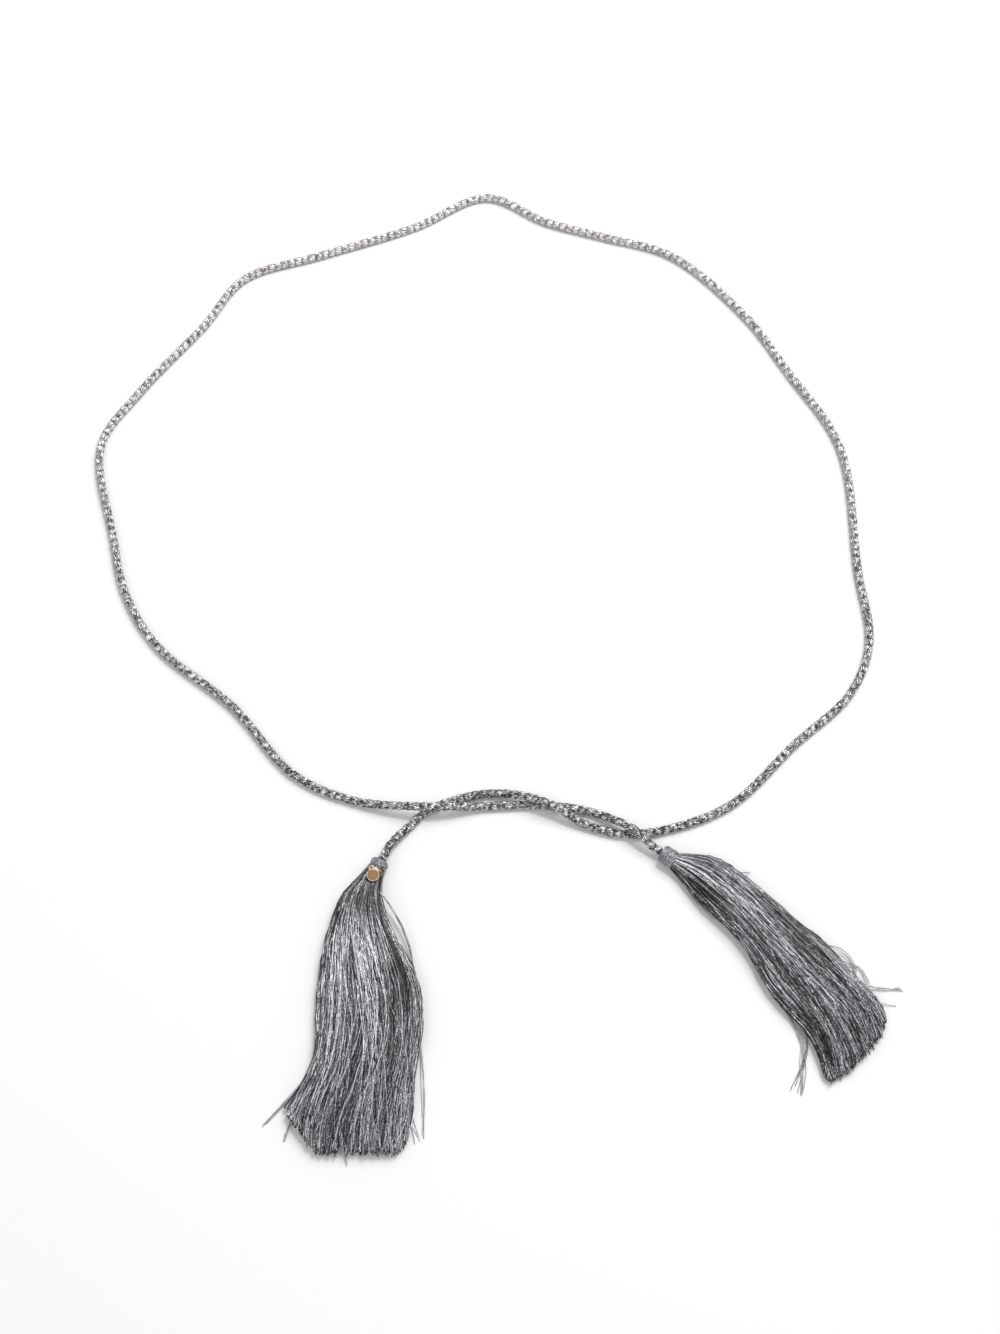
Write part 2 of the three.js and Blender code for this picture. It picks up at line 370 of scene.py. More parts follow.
@dataclass(frozen=True)
class YarnFinish:
    """Twisted metallic yarn with painted glints, painted shade where it dips into the braid, and painted light along Y:
    darker towards the front, lighter towards the back, with the glints' contrast growing towards the front.
    """

    name: str
    stops: tuple[tuple[float, float], ...]
    # Painted shade in the braid's recesses: its colour, and the distances from the middle in mm over which it gives way
    # to the yarn.
    recess: float
    recess_mm: tuple[float, float]
    metallic: float
    roughness: float
    # Painted light along Y: its strength, and the Y where it turns from darker in front to lighter behind.
    dulling: float = 0.0
    dull_before: float = 0.27
    tint: Tint = CORD_SILVER
    # The size and contrast of the painted glint patches, and the contrast of the filaments' stripes.
    patch_scale: float = 560.0
    patch_contrast: float = 1.6
    filament_contrast: float = 1.9
    # How fast the painted glints' contrast grows in front of that Y.
    handled_contrast: float = 2.5
    ply_contrast: float = 0.25
    lightness: float = 0.43
    filament_roughness: float = 0.3
    relief: float = 0.00015

    def material(self) -> bpy.types.Material:
        """Builds the material.

        Returns:
            The material.
        """
        graph = ShaderGraph(self.name)
        filaments = graph.noise(graph.attribute("fibre", "Vector"), 1.0, 3.0)
        place = graph.object_place()
        # Painted glints: patches of noise in the base colour, over the filaments' stripes.
        painted_glint_patches = graph.noise(place, self.patch_scale, 1.0)
        back = graph.out(graph.node("ShaderNodeSeparateXYZ", inputs={"Vector": place}), "Y")
        # Painted light: the glints' contrast grows towards the front.
        painted_front_glint_gain = graph.math("MAXIMUM", self.dull_before - back, 0.0) * self.handled_contrast + 1.0
        glints = (painted_glint_patches - 0.5) * self.patch_contrast + (filaments - 0.5) * self.filament_contrast
        level = glints * painted_front_glint_gain + graph.attribute("tone") * self.ply_contrast + self.lightness
        # Painted light: the colour darkens towards the front and lightens towards the back.
        level = level + (back - self.dull_before) * self.dulling
        # Painted shade: the colour turns to the recess shade where a ply lies low, near the braid's middle.
        low, high = self.recess_mm
        raised = graph.clamp((graph.attribute("rim") - low) / (high - low))
        yarn = graph.ramp(level, tinted_stops(self.stops, self.tint))
        graph.surface(
            Base_Color=graph.mix(raised, tinted(self.recess, self.tint), yarn),
            Metallic=self.metallic,
            Roughness=self.roughness + (1 - filaments) * self.filament_roughness,
            Specular_IOR_Level=0.6,
        )
        graph.bump(filaments, self.relief, 0.9)
        return graph.material


@dataclass(frozen=True)
class ThreadFinish:
    """Loose satin thread: each strand has its own grey, glints painted along it in its colour, and painted shade where
    a skirt stores it.
    """

    name: str
    stops: tuple[tuple[float, float], ...]
    metallic: float
    roughness: float
    tint: Tint = SILVER
    strand_contrast: float = 0.8
    # Painted glints: their contrast and fineness in the thread's colour.
    glint_contrast: float = 1.0
    glitter_contrast: float = 1.1
    glitter_fineness: float = 7.0
    lightness: float = 0.12
    # How far the painted shade darkens the colour.
    sunk_shade: float = 0.65
    glint_roughness: float = 0.25
    relief: float = 0.0001

    def material(self) -> bpy.types.Material:
        """Builds the material.

        Returns:
            The material.
        """
        graph = ShaderGraph(self.name)
        fibre = graph.attribute("fibre", "Vector")
        # Painted glints: noise along each thread in its colour; the coarser noise also sets the roughness.
        glints = graph.noise(fibre, 1.0, 3.0)
        glitter = graph.noise(fibre * self.glitter_fineness, 1.0, 1.0)
        sparkle = (glints - 0.5) * self.glint_contrast + (glitter - 0.5) * self.glitter_contrast
        level = graph.attribute("tone") * self.strand_contrast + sparkle + self.lightness
        # Painted shade: darker where the skirt stores more shade on a point, painted lighter below 0.
        level = level - graph.attribute("sunk") * self.sunk_shade
        graph.surface(
            Base_Color=graph.ramp(level, tinted_stops(self.stops, self.tint)),
            Metallic=self.metallic,
            Roughness=self.roughness + (1 - glints) * self.glint_roughness,
            Specular_IOR_Level=0.55,
        )
        graph.bump(glitter, self.relief, 0.8)
        return graph.material


@dataclass(frozen=True)
class MetalFinish:
    """Satin metal with fine brushing, a little tarnish and a painted highlight along its edges."""

    name: str
    colour: tuple[float, float, float, float]
    tarnish: tuple[float, float, float, float]
    worn: tuple[float, float, float, float]
    roughness: float
    brushing_scale: float = 9000.0
    brushing_stretch: tuple[float, float, float] = (1.0, 0.12, 1.0)
    stain_scale: float = 700.0
    ragged_wear: float = 1.5
    cleanness: float = 2.2
    relief: float = 0.00002

    def material(self, middle: Vector, reach: Vector, starts: float, ends: float) -> bpy.types.Material:
        """Builds the material for one part.

        Args:
            middle: The part's middle.
            reach: How much each axis counts in the distance from the middle.
            starts: The distance at which the painted edge highlight begins.
            ends: The distance at which it is full.

        Returns:
            The material.
        """
        graph = ShaderGraph(self.name)
        place = graph.object_place()
        stretched = graph.node("ShaderNodeMapping", inputs={"Vector": place, "Scale": self.brushing_stretch})
        brushing = graph.noise(graph.out(stretched, "Vector"), self.brushing_scale, 3.0)
        stains = graph.noise(place, self.stain_scale, 3.0)
        distance = graph.length((place - graph.vector(*middle)) * graph.vector(*reach))
        # Painted highlight: the edges turn pale, raggedly, past the starting distance.
        painted_highlight = graph.clamp((distance - starts) / (ends - starts) + (stains - 0.5) * self.ragged_wear)
        metal = graph.mix(stains * brushing * self.cleanness, self.tarnish, self.colour)
        graph.surface(
            Base_Color=graph.mix(painted_highlight, metal, self.worn),
            Metallic=0.75,
            Roughness=self.roughness + brushing * 0.2 - painted_highlight * 0.1,
        )
        graph.bump(brushing, self.relief, 0.6)
        return graph.material


@dataclass(frozen=True)
class FloorFinish:
    """The pale surface under the belt."""

    name: str
    value: float

    def material(self) -> bpy.types.Material:
        """Builds the material.

        Returns:
            The material.
        """
        graph = ShaderGraph(self.name)
        graph.surface(Base_Color=tinted(self.value), Roughness=0.9, Specular_IOR_Level=0.1)
        return graph.material


BRAID_YARN = YarnFinish(
    "silver_braid_yarn",
    stops=((0.0, 0.05), (0.3, 0.26), (0.6, 0.66), (1.0, 1.0)),
    recess=0.02,
    recess_mm=(1.72, 2.25),
    metallic=0.68,
    roughness=0.15,
    dulling=0.9,
)
# The core and the head barrels carry no rim, so they take the recess colour all over, a painted shade.
BRAID_CORE = YarnFinish(
    "braid_core_yarn",
    stops=((0.0, 0.02), (1.0, 0.08)),
    recess=0.03,
    recess_mm=(1.7, 2.2),
    metallic=0.2,
    roughness=0.7,
)
WINDING_THREAD = ThreadFinish(
    "silver_winding_thread", ((0.0, 0.02), (0.4, 0.2), (1.0, 0.95)), metallic=0.5, roughness=0.25
)
SKIRT_THREAD = ThreadFinish(
    "silver_skirt_thread",
    stops=((0.0, 0.006), (0.3, 0.05), (0.6, 0.24), (0.85, 0.6), (1.0, 0.95)),
    metallic=0.5,
    roughness=0.28,
)
STRAY_THREAD = ThreadFinish("silver_stray_thread", ((0.0, 0.1), (1.0, 0.75)), metallic=0.5, roughness=0.28)
# A darker copy of the skirt thread for the inner layer: a painted shade.
PAINTED_SHADE_THREAD = ThreadFinish(
    "shaded_skirt_thread", ((0.0, 0.006), (0.4, 0.04), (1.0, 0.45)), metallic=0.3, roughness=0.45
)
TIE_THREAD = ThreadFinish(
    "tan_tie_thread", ((0.0, 0.05), (0.5, 0.22), (1.0, 0.7)), metallic=0.4, roughness=0.35, tint=TAN
)
TAN_METAL = MetalFinish(
    "tan_satin_metal",
    colour=(0.31, 0.185, 0.1, 1.0),
    tarnish=(0.15, 0.09, 0.05, 1.0),
    worn=(0.66, 0.53, 0.4, 1.0),
    roughness=0.38,
)
PALE_FLOOR = FloorFinish("pale_floor", value=0.88)


# ------------------------------------------------------------ geometry trees


TreeInput = Union[float, int, bpy.types.Material]
SOCKET_TYPES = {float: "NodeSocketFloat", int: "NodeSocketInt", bpy.types.Material: "NodeSocketMaterial"}


class GeometryTree(NodeGraph):
    """A geometry tree with named inputs, made a plain mesh by `bake`. `lines` are the base's edges as curves."""

    def __init__(self, name: str, inputs: Mapping[str, TreeInput]) -> None:
        """Makes the tree and its sockets.

        Args:
            name: The tree's name.
            inputs: Each input's value, by its name.
        """
        tree = bpy.data.node_groups.new(name, "GeometryNodeTree")
        super().__init__(tree)
        tree.interface.new_socket("Geometry", in_out="INPUT", socket_type="NodeSocketGeometry")
        self.values = {}
        for key, value in inputs.items():
            socket = tree.interface.new_socket(key, in_out="INPUT", socket_type=SOCKET_TYPES[type(value)])
            self.values[socket.identifier] = value
        tree.interface.new_socket("Geometry", in_out="OUTPUT", socket_type="NodeSocketGeometry")
        self.entry = self.node("NodeGroupInput")
        self.lines = self.step("GeometryNodeMeshToCurve", Mesh=self.given("Geometry"))

    def given(self, name: str) -> Signal:
        """Wraps one of the tree's named inputs."""
        return self.out(self.entry, name)

    def step(self, kind: str, settings: Mapping[str, object] | None = None, **inputs: object) -> bpy.types.NodeSocket:
        """Adds a node, its inputs by name with _ for a space, and gives its first output."""
        named = {key.replace("_", " "): value for key, value in inputs.items()}
        return self.node(kind, settings, named).outputs[0]

    def store(self, geometry: object, name: str, value: Signal, domain: str = "POINT") -> bpy.types.NodeSocket:
        """Stores a number or a vector as a named attribute.

        Args:
            geometry: The geometry.
            name: The attribute's name.
            value: Its value.
            domain: Its domain.

        Returns:
            The geometry with the attribute.
        """
        kind = "FLOAT_VECTOR" if value.socket.type == "VECTOR" else "FLOAT"
        settings = {"data_type": kind, "domain": domain}
        return self.step("GeometryNodeStoreNamedAttribute", settings, Geometry=geometry, Name=name, Value=value)

    def stored(self, name: str, kind: str = "FLOAT") -> Signal:
        """Reads a named attribute of a kind."""
        node = self.node("GeometryNodeInputNamedAttribute", {"data_type": kind}, {"Name": name})
        return self.out(node, "Attribute")

    def chance(self, low: float, high: float, seed: Operand) -> Signal:
        """Draws a random number from low to high for each element, by a fixed seed."""
        inputs = {"Min": low, "Max": high, "Seed": seed}
        return self.out(self.node("FunctionNodeRandomValue", {"data_type": "FLOAT"}, inputs), "Value")

    def ring(self, sides: int, radius: Signal) -> bpy.types.NodeSocket:
        """Adds the circle that a curve is swept with."""
        settings = {"mode": "RADIUS"}
        return self.step("GeometryNodeCurvePrimitiveCircle", settings, Resolution=sides, Radius=radius)

    def sweep(self, curves: object, ring: object) -> bpy.types.NodeSocket:
        """Makes closed tubes of curves."""
        return self.step("GeometryNodeCurveToMesh", Curve=curves, Profile_Curve=ring, Fill_Caps=True)

    def close(self, geometry: object, finish: str | None = None) -> None:
        """Ends the tree in Realize Instances, then in Set Material where one input holds the material.

        Args:
            geometry: The geometry to hand out.
            finish: The input that holds its material, or nothing where its parts have theirs.
        """
        made = self.step("GeometryNodeRealizeInstances", Geometry=geometry)
        if finish:
            made = self.step("GeometryNodeSetMaterial", Geometry=made, Material=self.given(finish))
        self.put(self.node("NodeGroupOutput"), "Geometry", made)

    def bake(self, name: str, base: bpy.types.Mesh) -> bpy.types.Object:
        """Runs the tree on a mesh and keeps the result as a plain mesh.

        Args:
            name: The new object's name.
            base: The mesh that the tree starts from.

        Returns:
            The new object, with no modifier left.
        """
        piece = bpy.data.objects.new(name, base)
        bpy.context.scene.collection.objects.link(piece)
        modifier = piece.modifiers.new(name, "NODES")
        modifier.node_group = self.tree
        for identifier, value in self.values.items():
            modifier[identifier] = value
        bpy.context.view_layer.update()
        evaluated = piece.evaluated_get(bpy.context.evaluated_depsgraph_get())
        made = bpy.data.meshes.new_from_object(evaluated)
        piece.modifiers.clear()
        piece.data = made
        made.name = name
        return piece


def lines_mesh(name: str, lines: Iterable[np.ndarray], sunk: np.ndarray | None = None) -> bpy.types.Mesh:
    """Makes a mesh of open chains of edges.

    Args:
        name: The mesh's name.
        lines: Each chain's points.
        sunk: Each point's painted shade, mostly how far under its neighbours it lies, about 0 to 1, if it is to be
            kept.

    Returns:
        The mesh.
    """
    points: list[tuple[float, ...]] = []
    edges: list[tuple[int, int]] = []
    for line in lines:
        start = len(points)
        points += [tuple(point) for point in line]
        edges += [(i, i + 1) for i in range(start, start + len(line) - 1)]
    mesh = bpy.data.meshes.new(name)
    mesh.from_pydata(points, edges, [])
    if sunk is not None:
        mesh.attributes.new("sunk", "FLOAT", "POINT").data.foreach_set("value", sunk.astype(np.float32).ravel())
    return mesh


def turned_mesh(name: str, profile: Sequence[tuple[float, float]], sides: int) -> bpy.types.Mesh:
    """Turns a closed or pole-to-pole profile round the Y axis.

    Args:
        name: The mesh's name.
        profile: Radius and height of each point. A radius of 0 is a pole.
        sides: How many sides the turning has.

    Returns:
        The mesh, its faces outwards.
    """
    points: list[tuple[float, float, float]] = []
    rings: list[list[int]] = []
    for radius, height in profile:
        start = len(points)
        if radius <= 0:
            points.append((0.0, height, 0.0))
            rings.append([start] * sides)
            continue
        for side in range(sides):
            angle = 2 * math.pi * side / sides
            points.append((radius * math.cos(angle), height, -radius * math.sin(angle)))
        rings.append(list(range(start, start + sides)))
    faces = []
    for low, high in zip(rings, rings[1:]):
        for side in range(sides):
            after = (side + 1) % sides
            corners = [low[side], low[after], high[after], high[side]]
            faces.append(tuple(dict.fromkeys(corners)))
    mesh = bpy.data.meshes.new(name)
    mesh.from_pydata(points, [], faces)
    return mesh


def carried(piece: bpy.types.Object) -> bpy.types.Object:
    """Makes a piece ride on the belt's body.

    Args:
        piece: The finished piece.

    Returns:
        The piece.
    """
    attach(piece, BODY)
    return piece


# ------------------------------------------------------------------ the cord


def spline_points(points: np.ndarray, steps: int) -> np.ndarray:
    """Runs a smooth curve through points, spaced so that it never overshoots.

    Args:
        points: The points it passes through.
        steps: How many steps it takes between two of them.

    Returns:
        The curve's points.
    """
    before = 2 * points[0] - points[1]
    after = 2 * points[-1] - points[-2]
    padded = np.vstack([before, points, after])
    curve = []
    for i in range(len(points) - 1):
        p0, p1, p2, p3 = padded[i : i + 4]
        d0, d1, d2 = (np.linalg.norm(b - a) ** 0.5 for a, b in ((p0, p1), (p1, p2), (p2, p3)))
        m1 = ((p1 - p0) / d0 - (p2 - p0) / (d0 + d1) + (p2 - p1) / d1) * d1
        m2 = ((p2 - p1) / d1 - (p3 - p1) / (d1 + d2) + (p3 - p2) / d2) * d1
        t = (np.arange(steps) / steps)[:, None]
        cubic = 2 * p1 - 2 * p2 + m1 + m2
        square = 3 * p2 - 3 * p1 - 2 * m1 - m2
        curve.append(p1 + m1 * t + square * t**2 + cubic * t**3)
    return np.vstack([*curve, points[-1:]])


@dataclass
class BraidedCord:
    """The belt's one cord: strands of plies that cross over and under round a thin core."""

    loop_width: float = 0.45
    diameter: float = 0.005
    length: float = 1.533
    crossing_clearance: float = 0.0009
    head_radius: float = 0.005
    steps_between_points: int = 40
    path_stride: int = 4
    # The braid: its strands, their plies and the core.
    lead: float = 0.0346
    strands: int = 4
    plies: int = 3
    ply_radius: float = 0.0005
    ply_spread: float = 0.5
    ply_sides: int = 5
    middle_radius: float = 0.00145
    weave_depth: float = 0.0005
    weave_squareness: float = 1.8
    core_radius: float = 0.0013
    core_sides: int = 8
    steps: int = 1400
    # Unevenness: the whole braid's slow turn, and each ply's own slack.
    seed: int = 7
    drift_scale: float = 7.0
    drift_turn: float = 3.0
    slack_scale: float = 260.0
    slack_step: float = 3.7
    slack_turn: float = 0.25
    slack_radius: float = 0.0002
    # The yarn's filaments, as noise coordinates.
    filament_twist: float = 1900.0
    filament_width: float = 1.3
    filament_scale: float = 320.0
    filament_step: float = 40.0

    line: np.ndarray = field(init=False)

    def __post_init__(self) -> None:
        """Lays out the centreline."""
        radius = self.diameter / 2
        rise = self.diameter + self.crossing_clearance
        points = np.array([
            (
                p.x * self.loop_width,
                p.y * self.loop_width + p.aside * self.diameter,
                radius + p.over * rise + p.entry * (self.head_radius - radius),
            )
            for p in ROUTE
        ])
        self.line = spline_points(points, self.steps_between_points)
        self.line[:, 2] = np.maximum(self.line[:, 2], radius)

    def end(self, at_start: bool) -> tuple[np.ndarray, float]:
        """Gives the point where the cord ends, and its heading there in radians."""
        tip, inner = (self.line[0], self.line[1]) if at_start else (self.line[-1], self.line[-2])
        return tip, math.atan2(tip[1] - inner[1], tip[0] - inner[0])

    def _offset(self, tree: GeometryTree, index: Signal, along: Signal, place: Signal) -> Signal:
        """Works out how far each ply stands off the centreline, over or under the strands that cross it.

        Args:
            tree: The tree.
            index: The ply's number.
            along: How far along the cord the point lies.
            place: The point on the centreline.

        Returns:
            The offset.
        """
        strand = tree.math("FLOOR", index / self.plies)
        side = (index % self.plies) - (self.plies - 1) / 2
        turn = along * 2 * math.pi / tree.given("Lead")
        drift = (tree.noise(tree.vector(along, 0.0, 0.0), self.drift_scale, 1.0) - 0.5) * self.drift_turn
        slack = tree.noise(place * self.slack_scale + tree.vector(index * self.slack_step, 0.0, 0.0), 1.0, 1.0) - 0.5
        angle = turn * tree.given("Way") + strand * (2 * math.pi / self.strands) + math.pi / 2 + drift
        angle = angle + side * tree.given("Ply Spread") + slack * self.slack_turn
        weave = tree.math("TANH", tree.math("COSINE", turn * self.strands) * self.weave_squareness)
        radius = tree.given("Middle Radius") + tree.given("Weave Depth") * (weave * tree.given("Way"))
        radius = radius + slack * self.slack_radius
        tangent = tree.read("GeometryNodeInputTangent", "Tangent")
        across = tree.math("NORMALIZE", tree.math("CROSS_PRODUCT", tree.vector(0.0, 0.0, 1.0), tangent))
        upward = tree.math("CROSS_PRODUCT", tangent, across)
        return across * (tree.math("COSINE", angle) * radius) + upward * (tree.math("SINE", angle) * radius)

    def _fibre(self, tree: GeometryTree) -> Signal:
        """Gives each point of a ply its place in the yarn's twisted filaments."""
        twist = tree.stored("around") * 2 * math.pi + tree.stored("along") * self.filament_twist
        return tree.vector(
            tree.math("COSINE", twist) * self.filament_width + tree.stored("tone") * self.filament_step,
            tree.math("SINE", twist) * self.filament_width,
            tree.stored("along") * self.filament_scale,
        )

    def _tree(self, name: str, way: int) -> GeometryTree:
        """Makes the tree that lays one way's strands round the centreline.

        Args:
            name: The tree's name.
            way: 1 for strands that turn to the left, or -1 for those that cross them.

        Returns:
            The tree.
        """
        tree = GeometryTree(name, {
            "Way": float(way),
            "Lead": self.lead,
            "Middle Radius": self.middle_radius,
            "Weave Depth": self.weave_depth,
            "Ply Radius": self.ply_radius,
            "Ply Spread": self.ply_spread,
            "Core Radius": self.core_radius,
            "Steps": self.steps,
            "Seed": self.seed + way,
            "Yarn": BRAID_YARN.material(),
            "Core": BRAID_CORE.material(),
        })
        line = tree.step("GeometryNodeResampleCurve", {"mode": "COUNT"}, Curve=tree.lines, Count=tree.given("Steps"))
        plies = {"Geometry": line, "Amount": self.strands * self.plies}
        copies = tree.node("GeometryNodeDuplicateElements", {"domain": "SPLINE"}, plies)
        along = tree.read("GeometryNodeSplineParameter", "Length")
        place = tree.read("GeometryNodeInputPosition", "Position")
        braid = tree.store(copies.outputs[0], "middle", place)
        offset = self._offset(tree, tree.out(copies, "Duplicate Index"), along, place)
        braid = tree.step("GeometryNodeSetPosition", Geometry=braid, Offset=offset)
        braid = tree.store(braid, "along", along)
        braid = tree.store(braid, "tone", tree.chance(0.0, 1.0, tree.given("Seed")), "CURVE")
        ring = tree.ring(self.ply_sides, tree.given("Ply Radius"))
        ring = tree.store(ring, "around", tree.read("GeometryNodeSplineParameter", "Factor"))
        braid = tree.sweep(braid, ring)
        braid = tree.store(braid, "fibre", self._fibre(tree))
        off_middle = tree.read("GeometryNodeInputPosition", "Position") - tree.stored("middle", "FLOAT_VECTOR")
        # The distance from the braid's middle in mm, which the yarn's painted recess shade reads.
        braid = tree.store(braid, "rim", tree.length(off_middle) / MM)
        joined = tree.node("GeometryNodeJoinGeometry")
        braid = tree.step("GeometryNodeSetMaterial", Geometry=braid, Material=tree.given("Yarn"))
        tree.put(joined, "Geometry", braid)
        if way > 0:
            core = tree.sweep(line, tree.ring(self.core_sides, tree.given("Core Radius")))
            core = tree.step("GeometryNodeSetMaterial", Geometry=core, Material=tree.given("Core"))
            tree.put(joined, "Geometry", core)
        tree.close(tree.step("GeometryNodeSetShadeSmooth", Geometry=joined.outputs[0]))
        return tree

    def build(self) -> list[bpy.types.Object]:
        """Returns:
            The strands that turn left, with the core, and those that turn right.
        """
        pieces = [
            carried(self._tree(name, way).bake(name, lines_mesh(name, [self.line])))
            for name, way in (("braid_left_laid", 1), ("braid_right_laid", -1))
        ]
        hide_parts("cord")
        return pieces


# ------------------------------------------------------------------ a tassel


def heading_vector(angle: float) -> np.ndarray:
    """Gives the level unit vector of a heading in radians."""
    return np.array([math.cos(angle), math.sin(angle), 0.0])


@dataclass
class Neck:
    """Where a tassel joins its end of the cord."""

    face: np.ndarray
    heading: float
    head_length: float
    length: float

    @property
    def forward(self) -> np.ndarray:
        """The direction from the cord into the tassel."""
        return heading_vector(self.heading)


@dataclass
class WoundHead:
    """A head of close turns of thread over a barrel."""

    side: Side
    neck: Neck
    outline: tuple[tuple[float, float], ...]
    radius: float = 0.005
    thread_radius: float = 0.00022
    thread_sides: int = 6
    turn_pitch: float = 1.75
    points_per_turn: int = 26
    barrel_sides: int = 32
    # How the thread strays from its turns, and how its grey varies along it.
    wobble: float = 0.0002
    wobble_scale: float = 90.0
    mottle_scale: float = 170.0
    mottle_contrast: float = 2.6
    mottle_tone: float = 0.45
    fibre_scale: tuple[float, float] = (500.0, 9.0)

    def _place(self) -> Matrix:
        """Gives the matrix that moves a shape made along +Y from the origin onto the neck."""
        turn = Matrix.Rotation(self.neck.heading - math.pi / 2, 4, "Z")
        return Matrix.Translation(Vector(self.neck.face)) @ turn

    def _tree(self, turns: int) -> GeometryTree:
        """Makes the tree that winds the thread.

        Args:
            turns: How many turns it makes.

        Returns:
            The tree.
        """
        tree = GeometryTree("winding_" + self.side.value, {
            "Length": self.neck.head_length,
            "Radius": self.radius,
            "Thread Radius": self.thread_radius,
            "Turns": turns,
            "Thread": WINDING_THREAD.material(),
        })
        thread = tree.given("Thread Radius")
        count = tree.given("Turns") * self.points_per_turn
        line = tree.step("GeometryNodeResampleCurve", {"mode": "COUNT"}, Curve=tree.lines, Count=count)
        share = tree.read("GeometryNodeSplineParameter", "Factor")
        outline = tree.out(tree.node("ShaderNodeFloatCurve", {"curve": self.outline}, {"Value": share}), "Value")
        wobble = tree.noise(tree.vector(share * self.wobble_scale, 0.0, 0.0), 1.0, 1.0) - 0.5
        radius = outline * tree.given("Radius") - thread + wobble * self.wobble
        height = thread + share * (tree.given("Length") - thread * 2)
        angle = share * tree.given("Turns") * 2 * math.pi
        place = tree.vector(tree.math("COSINE", angle) * radius, height, tree.math("SINE", angle) * radius)
        coil = tree.step("GeometryNodeSetPosition", Geometry=line, Position=place)
        mottle = tree.noise(tree.vector(share * self.mottle_scale, 0.0, 0.0), 1.0, 2.0) - 0.5
        coil = tree.store(coil, "tone", mottle * self.mottle_contrast + self.mottle_tone)
        onward, aside = self.fibre_scale
        coil = tree.store(coil, "fibre", tree.vector(share * onward, share * aside, 0.0))
        coil = tree.sweep(coil, tree.ring(self.thread_sides, thread))
        tree.close(tree.step("GeometryNodeSetShadeSmooth", Geometry=coil), "Thread")
        return tree

    def build(self) -> list[bpy.types.Object]:
        """Makes the winding and the barrel under it.

        Returns:
            Both pieces.
        """
        length = self.neck.head_length
        turns = round(length / (self.thread_radius * self.turn_pitch))
        axis = [np.array([0.0, 0.0, 0.0]), np.array([0.0, length, 0.0])]
        winding = self._tree(turns).bake(f"head_winding_{self.side.value}", lines_mesh("axis", [axis]))
        inner = [(r * self.radius - self.thread_radius, a * length) for a, r in self.outline]
        profile = [(0.0, 0.0), *inner, (0.0, length)]
        barrel_mesh = turned_mesh(f"head_barrel_{self.side.value}", profile, self.barrel_sides)
        barrel_mesh.materials.append(BRAID_CORE.material())
        barrel = bpy.data.objects.new(barrel_mesh.name, barrel_mesh)
        bpy.context.scene.collection.objects.link(barrel)
        for piece in (winding, barrel):
            piece.data.transform(self._place())
            carried(piece)
        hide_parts(f"tassel_head_{self.side.value}")
        return [winding, barrel]


class Layer(NamedTuple):
    """One layer of a skirt's threads."""

    name: str
    threads: int
    inward: tuple[float, float]
    upper_share: float
    thread_radius: float
    finish: ThreadFinish
    seed: int
    on_top: bool = False


class Crossing(NamedTuple):
    """A bundle that lies on top and crosses from one part of the width to another; shares from -1 to 1."""

    portion: float
    starts: tuple[float, float]
    ends: tuple[float, float]


class Shade(NamedTuple):
    """A soft patch of painted shade, or of painted light where its strength is below 0: its middle across and along,
    its reach and its strength.
    """

    across: float
    along: float
    reach_across: float
    reach_along: float
    strength: float


class Spot(NamedTuple):
    """A place in the photograph, in its pixels, and its height over the floor in millimetres."""

    x: float
    y: float
    height: float


class StrayLock(NamedTuple):
    """A few threads that lie apart from the skirt, spread by so many millimetres."""

    threads: int
    spread: float
    spots: list[Spot]


@dataclass(frozen=True)
class Tassel:
    """What sets one tassel apart from the other. A hem's rows are a place across and a share of the length."""

    side: Side
    head_length: float
    head_outline: tuple[tuple[float, float], ...]
    neck_length: float
    neck_radius: float
    # Painted shade near the neck; below 0 it is painted light.
    neck_shade: float
    heading_deg: float
    length: float
    width: float
    upper_threads: int
    other_threads: int
    seed: int
    sections: list[SkirtSection]
    hem: list[tuple[float, float]]
    crossings: list[Crossing]
    # Soft patches of painted shade or light on the skirt.
    shades: list[Shade]
    strays: list[StrayLock]


class Threads(NamedTuple):
    """One layer's threads: where each starts across the neck, how deep it lies and the lock it belongs to."""

    rng: np.random.Generator
    spread: np.ndarray
    upper: np.ndarray
    depth: np.ndarray
    crossing_slant: np.ndarray
    lock_middle: np.ndarray
    lock: np.ndarray


# How far smooth_read follows its table's last curve, as a share of the last gap.
OVERRUN = 1.3


def smooth_read(place: np.ndarray, knots: np.ndarray, values: np.ndarray) -> np.ndarray:
    """Reads a smooth curve through a table's values.

    Args:
        place: Where it is read.
        knots: The table's places, rising.
        values: The table's values.

    Returns:
        The value at each place.
    """
    slopes = np.gradient(values, knots)
    i = np.clip(np.searchsorted(knots, place) - 1, 0, len(knots) - 2)
    gap = knots[i + 1] - knots[i]
    t = np.clip((place - knots[i]) / gap, 0, OVERRUN)
    start = (1 + 2 * t) * (1 - t) ** 2 * values[i] + t * (1 - t) ** 2 * gap * slopes[i]
    return start + t**2 * (3 - 2 * t) * values[i + 1] + t**2 * (t - 1) * gap * slopes[i + 1]


